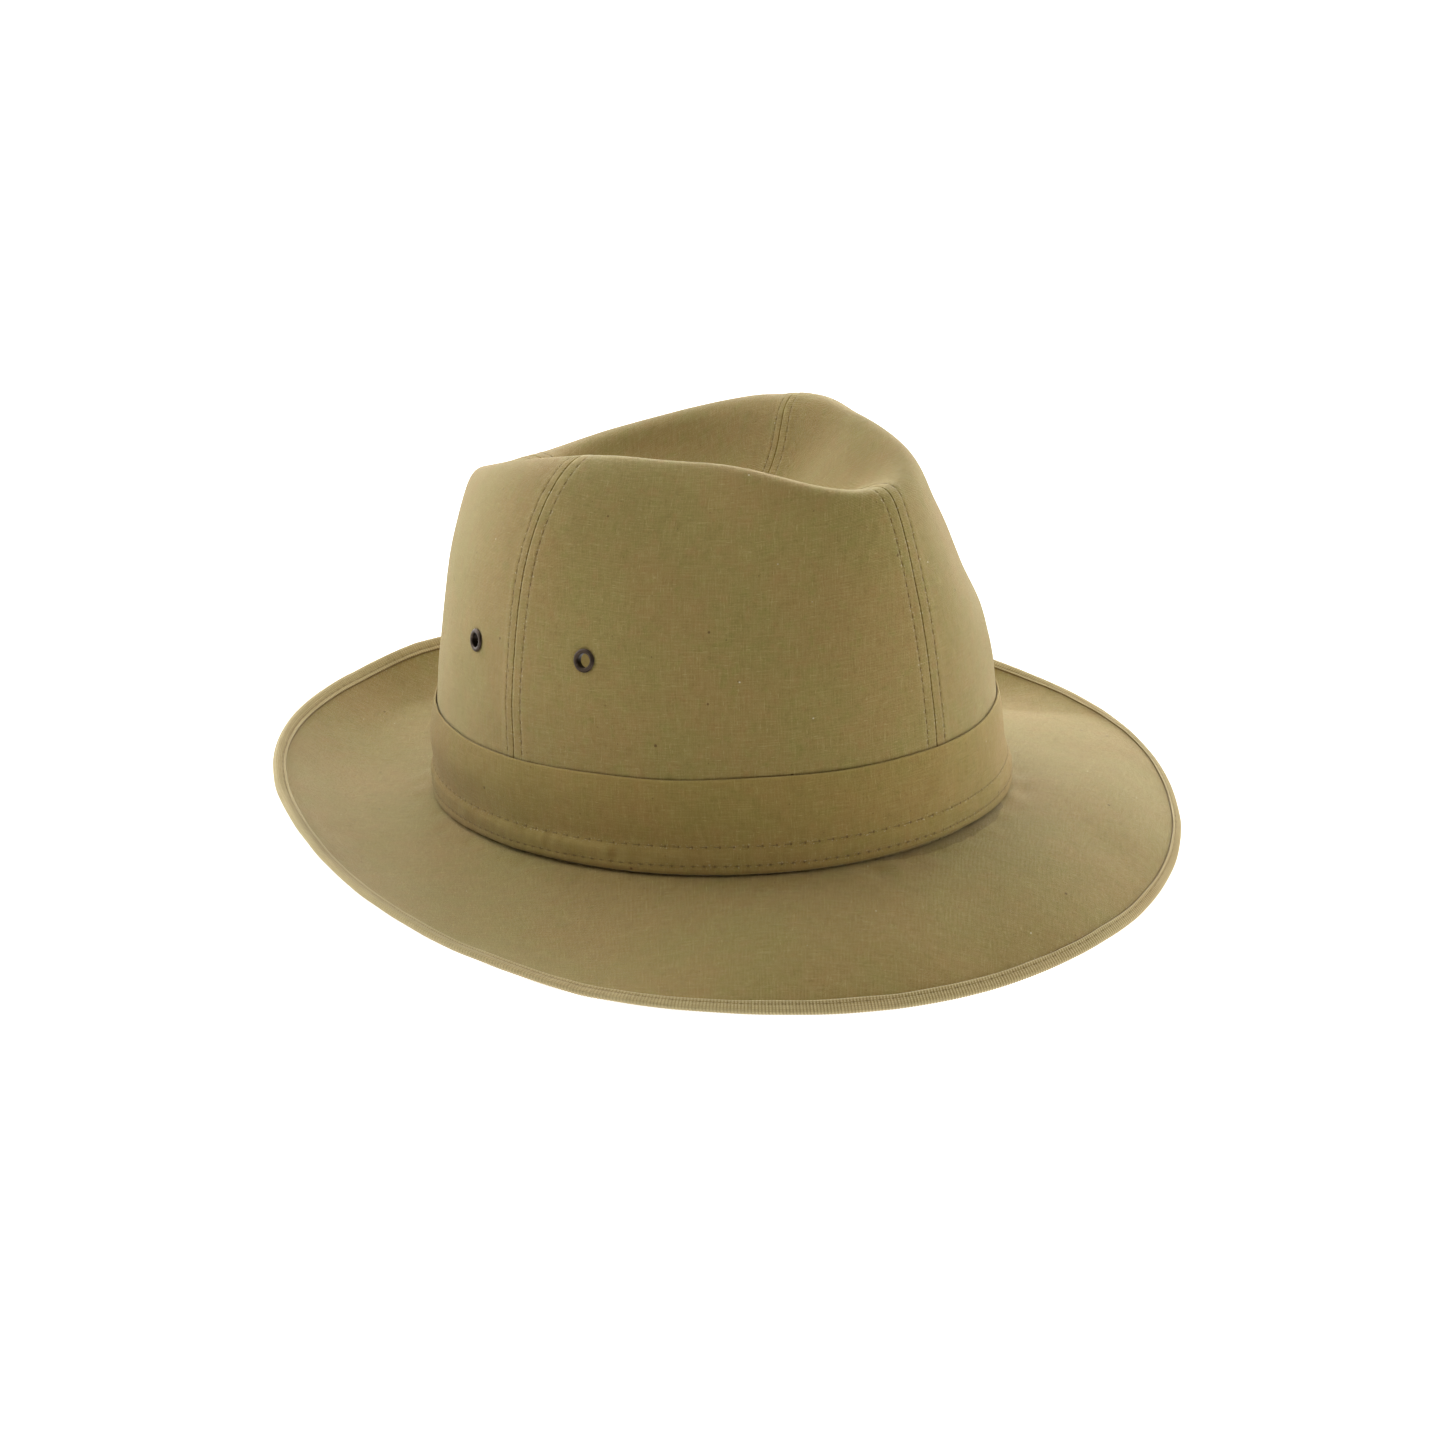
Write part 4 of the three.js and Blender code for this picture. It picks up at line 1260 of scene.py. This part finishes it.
# Rows of stitches start at this height, under the band, and end this far from the top's middle.
STITCHES_FROM = 31.0
MIDDLE_CLEAR = 7


def stitches(name, starts, ends, ups, material):
    """Bent threads. starts, ends and ups are (n, 3), and both ends dive into the cloth."""
    steps, sides, radius = 7, 6, THREAD_RADIUS
    t = np.linspace(0, 1, steps)
    count = len(starts)
    side = unit(np.cross(ends - starts, ups))
    line = starts[:, None] + (ends - starts)[:, None] * t[None, :, None]
    drop = -STITCH_SINK * np.abs(2 * t - 1) ** 3
    jitter = rng.uniform(-0.06, 0.06, (count, 1, 1)) * (t * (1 - t) * 4)[None, :, None]
    line = line + ups[:, None] * (drop[None, :, None] + radius * 0.45) + side[:, None] * jitter
    angle = np.arange(sides) / sides * 2 * math.pi
    ring = (side[:, None, None] * np.cos(angle)[None, None, :, None] * 1.15
            + ups[:, None, None] * np.sin(angle)[None, None, :, None] * 0.8)
    fat = radius * (1 - 0.25 * np.abs(2 * t - 1) ** 4)
    grid = line[:, :, None] + ring * fat[None, :, None, None]
    index = np.arange(count * steps * sides).reshape(count, steps, sides)
    a, b = index[:, :-1], index[:, 1:]
    quads = np.stack([a, b, np.roll(b, -1, 2), np.roll(a, -1, 2)], -1).reshape(-1, 4)
    caps = []
    for end, order in ((0, 1), (steps - 1, -1)):
        ring_index = index[:, end, ::order]
        caps.append(ring_index[:, [0, 1, 2, 3]])
        caps.append(ring_index[:, [0, 3, 4, 5]])
    length = np.linalg.norm(ends - starts, axis=-1)
    u = np.arange(count)[:, None, None] * 3.7 + length[:, None, None] * t[None, :, None]
    v = np.broadcast_to(angle[None, None, :] * radius, index.shape)
    uv = np.stack([np.broadcast_to(u, index.shape), v], -1).reshape(-1, 2)
    obj = make_mesh(name, grid.reshape(-1, 3), [quads, *caps], {"cloth": uv})
    obj.data.materials.append(material)
    return obj


def chain(points, ups, pitch, gap, first=0.0, length=None):
    """Cuts a line into stitches that start every pitch, with a gap for the hole between them.
    They are laid out by the line's own length, or by another one given for its points."""
    if length is None:
        length = arc(points)
    begin = np.arange(first + gap / 2, length[-1] - pitch, pitch)
    finish = begin + pitch - gap

    def at(values, where):
        return np.stack([np.interp(where, length, values[:, k]) for k in range(3)], -1)

    return at(points, begin), at(points, finish), unit(at(ups, (begin + finish) / 2))


def seam_line(seam_degrees, away):
    """The line beside a crown seam where a row of stitches lies, on the cloth's outer face."""
    s = np.linspace(0, 0.985, 1500)
    theta0 = math.radians(seam_degrees)
    step = np.linalg.norm(crown_point(theta0 + 1e-3, s) - crown_point(theta0, s), axis=-1) / 1e-3
    theta = theta0 + away / np.maximum(step, 1)
    line = crown_point(np.full_like(s, theta0), s)
    along = arc(line)
    base = crown_point(theta, s)
    normal = crown_normal(theta, s)
    lift = crown_lift(base, np.full_like(s, TOPSTITCH_FROM_SEAM), along)
    from_middle = np.linalg.norm((base - crown_point(0.0, 1.0))[:, :2], axis=-1)
    use = ((base[:, 2] > STITCHES_FROM) | (s > 0.5)) & (from_middle > MIDDLE_CLEAR)
    # starts on a whole pitch, so that the holes in the cloth lie between stitches
    first = (np.ceil(along[use][0] / SEAM_PITCH) * SEAM_PITCH) - along[use][0]
    return (base + normal * lift[:, None])[use], normal[use], first


def gather(parts):
    return [np.concatenate(p) for p in zip(*parts)]


def crown_stitches(material):
    parts = []
    for degrees in (0, 90, 180, 270):
        for side in (-1, 1):
            in_front = (degrees < 180) == (side < 0)
            line, up, first = seam_line(degrees, side * row_distance(degrees, in_front))
            parts.append(chain(rest(line), turn(up), SEAM_PITCH, CROWN_STITCH_GAP, first))
    return stitches("crown_stitches", *gather(parts), material)


def band_stitches(material):
    theta = np.linspace(0, 2 * math.pi, 3000)
    parts = []
    for height, pitch in zip(BAND_ROW_HEIGHTS, BAND_ROW_PITCHES):
        base, normal, lift = band_outside(theta, np.full_like(theta, height))
        line = base + normal * lift[:, None]
        parts.append(chain(rest(line), turn(normal), pitch, BAND_STITCH_GAP))
    return stitches("band_stitches", *gather(parts), material)


def tape_stitches(material, theta_fine, length):
    parts = []
    for sign in (1, -1):
        shows = by_angle(TAPE_SHOWS, theta_fine) / TAPE_WIDTH
        along = brim_width(theta_fine) - TAPE_ROW_IN * (shows if sign > 0 else 2 - shows)
        above = sign * (BRIM_HALF + TAPE_CLEAR + TAPE_CLOTH - 0.1)
        line = brim_face(theta_fine, along, np.full_like(theta_fine, above))
        _, up, _ = brim_frame(theta_fine, along)
        # laid out by the length of the brim's edge, as the tape's own marks are
        parts.append(chain(rest(line), turn(up) * sign, TAPE_PITCH, TAPE_STITCH_GAP, length=length))
    return stitches("binding_stitches", *gather(parts), material)


# ---------------------------------------------------------------- eyelets
EYELET_SIDES = 72
# (radius, height over the cloth's outer face, rub, shade) round the section
EYELET_PROFILE = (
    (2.20, -0.35, 0.1, 0.7), (2.22, 0.05, 0.2, 0.4), (2.34, 0.34, 0.35, 0.2), (2.56, 0.50, 0.3, 0),
    (2.82, 0.57, 0.3, 0), (3.06, 0.57, 0.1, 0), (3.28, 0.50, 0.0, 0), (3.46, 0.38, 0.1, 0),
    (3.60, 0.27, 0.2, 0), (3.72, 0.16, 0.4, 0), (3.76, 0.02, 0.2, 0.2), (3.72, -0.08, 0, 0.6),
    (3.60, -0.12, 0, 0.9), (3.20, -0.06, 0, 0.9), (2.90, -0.1, 0, 0.9), (2.70, -0.3, 0, 0.9),
    (2.68, -1.2, 0, 0.6), (2.78, -1.75, 0, 0.6), (3.05, -1.9, 0, 0.4), (3.35, -1.82, 0.2, 0.4),
    (3.52, -1.95, 0.5, 0.1), (3.54, -2.2, 0.7, 0), (3.35, -2.42, 0.8, 0), (3.00, -2.5, 0.6, 0),
    (2.64, -2.42, 0.5, 0), (2.42, -2.2, 0.3, 0), (2.32, -1.9, 0.1, 0.3), (2.28, -1.2, 0, 0.6),
)

def make_eyelet(name, material):
    centre, normal = EYELETS[name]
    angle = np.arange(EYELET_SIDES) / EYELET_SIDES * 2 * math.pi
    right = unit(np.cross([0, 0, 1.0], normal))
    up = np.cross(normal, right)
    dent = Ripple(3.0)
    radius, high, rub_and_painted_light, shade = np.array(EYELET_PROFILE, float).T
    spoke = right * np.cos(angle)[:, None] + up * np.sin(angle)[:, None]
    lobes = np.where(high < -1.7, 0.06 * np.cos(6 * angle)[:, None] * (radius > 3), 0)
    grid = (centre + spoke[:, None] * (radius + lobes)[..., None]
            + normal * (high + 0.06)[None, :, None])
    grid = grid + normal * (0.025 * dent(grid))[..., None]
    ones = np.ones((EYELET_SIDES, 1))
    obj = tube_ring(name + "_metal", rest(grid), {}, {"rub_and_painted_light": ones * rub_and_painted_light, "shade": ones * shade})
    obj.data.materials.append(material)
    return obj


# ---------------------------------------------------------------- building the hat
# The band's cloth has a tint and less sheen. The hue of the brim and the band drifts less.
BAND_TINT = (1.0, 0.955, 0.86)
BAND_SHEEN = 0.24
CALM_BLOTCH = 0.66
# rows of stitches: distance, pitch, length and width of a mark of painted shade, and how dark it is
crown_cloth = canvas("crown_canvas", (
    (TOPSTITCH_FROM_SEAM, SEAM_PITCH, 1.45, 0.19, 0.9), (0.0, SEAM_KNOT_PITCH, 0.8, 0.22, 0.7)))
# a thin line of painted shade along the tape's inner edge
tape_edge_shade = (TAPE_LINE_AWAY, TAPE_LINE_PITCH, 3 * TAPE_LINE_PITCH, 0.14, 0.62)
brim_cloth = canvas("brim_canvas", (tape_edge_shade,), blotch=CALM_BLOTCH)
band_cloth = canvas("band_canvas", [(height, pitch, 0.6, 0.34, 0.95) for height, pitch
                                    in zip(BAND_ROW_HEIGHTS, BAND_ROW_PITCHES)],
                    BAND_TINT, BAND_SHEEN, CALM_BLOTCH)
tape_cloth = tape_material()
thread = thread_material("sewing_thread", (160, 138, 86))
band_thread = thread_material("band_thread", (128, 106, 58))
metal = metal_material()

finished = [(crown_panel(node + "_cloth", start, crown_cloth), (node,), "crown_canvas")
            for node, start in PANELS.items()]
finished.append((make_brim(brim_cloth), ("brim",), "brim_canvas"))
binding, edge_theta, edge_arc = make_binding(tape_cloth)
finished += [
    (binding, ("brim_binding",), "binding_tape"),
    (make_band(band_cloth), ("hat_band",), "band_canvas"),
    (crown_stitches(thread), (), "crown_canvas"),
    (band_stitches(band_thread), (), "band_canvas"),
    (tape_stitches(thread, edge_theta, edge_arc), (), "binding_tape"),
]
finished += [(make_eyelet(node, metal), (node,), "eyelet_metal") for node in EYELETS]
for piece, nodes_replaced, slot_name in finished:
    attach(piece, "root")
    if nodes_replaced:
        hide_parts(*nodes_replaced)

# ---------------------------------------------------------------- studio
# Half the floor's length, in metres, and the strength of its own light.
FLOOR_HALF = 6.0
FLOOR_GLOW = 1.0
WHITE = (1.0, 1.0, 1.0, 1.0)
WARM = (1.0, 0.93, 0.72)
SOFT_LIGHT_SPREAD = 45
# name, azimuth from the camera towards its right, elevation, strength, and a tint for some
LIGHTS = (
    ("left_rear_far", -165, 18, 1.65), ("left_rear", -130, 18, 1.85),
    ("left_high", -130, 50, 0.71), ("left", -95, 18, 0.6, WARM),
    ("left_side_high", -95, 50, 0.73), ("right", 95, 18, 1.27, (1, 0.97, 0.88)),
    ("right_rear", 130, 18, 1.2), ("right_rear_far", 165, 18, 2.9),
    ("right_high", 130, 50, 0.6), ("top", 180, 88, 0.23), ("front_high", 45, 50, 0.46, WARM),
)


def make_floor():
    mesh = bpy.data.meshes.new("studio_floor")
    h = FLOOR_HALF
    mesh.from_pydata([(-h, -h, 0), (h, -h, 0), (h, h, 0), (-h, h, 0)], [], [(0, 1, 2, 3)])
    floor = link("studio_floor", mesh)
    material, n, shader = new_material("studio_floor")
    grain = n.noise(n.place(), 40.0, 2)
    n.fill(shader, {
        "Base Color": n.mix(grain, (0.58, 0.58, 0.58, 1), (0.62, 0.62, 0.62, 1)),
        "Roughness": 0.8, "Specular IOR Level": 0.1, "Emission Color": WHITE,
        "Emission Strength": FLOOR_GLOW})
    mesh.materials.append(material)


def soft_light(name, azimuth, elevation, strength, tint=(1.0, 1.0, 1.0)):
    """A wide distant light. Azimuth 0 is from the camera's side, and 90 is from its right."""
    data = bpy.data.lights.new(name, "SUN")
    data.angle = math.radians(SOFT_LIGHT_SPREAD)
    data.energy = strength
    data.color = tint
    back = toward(CAMERA_AZIMUTH + azimuth, elevation)
    link(name, data).rotation_euler = back.to_track_quat("Z", "Y").to_euler()


make_floor()
for light_facts in LIGHTS:
    soft_light(*light_facts)

world = bpy.data.worlds.new("studio")
bpy.context.scene.world = world
world.use_nodes = True
background = world.node_tree.nodes["Background"]
background.inputs["Color"].default_value = WHITE
background.inputs["Strength"].default_value = 1.0
# a white backdrop behind the floor, which gives no light of its own
for rays in ("diffuse", "glossy", "transmission", "scatter"):
    setattr(world.cycles_visibility, rays, False)
bpy.context.scene.view_settings.view_transform = "Standard"
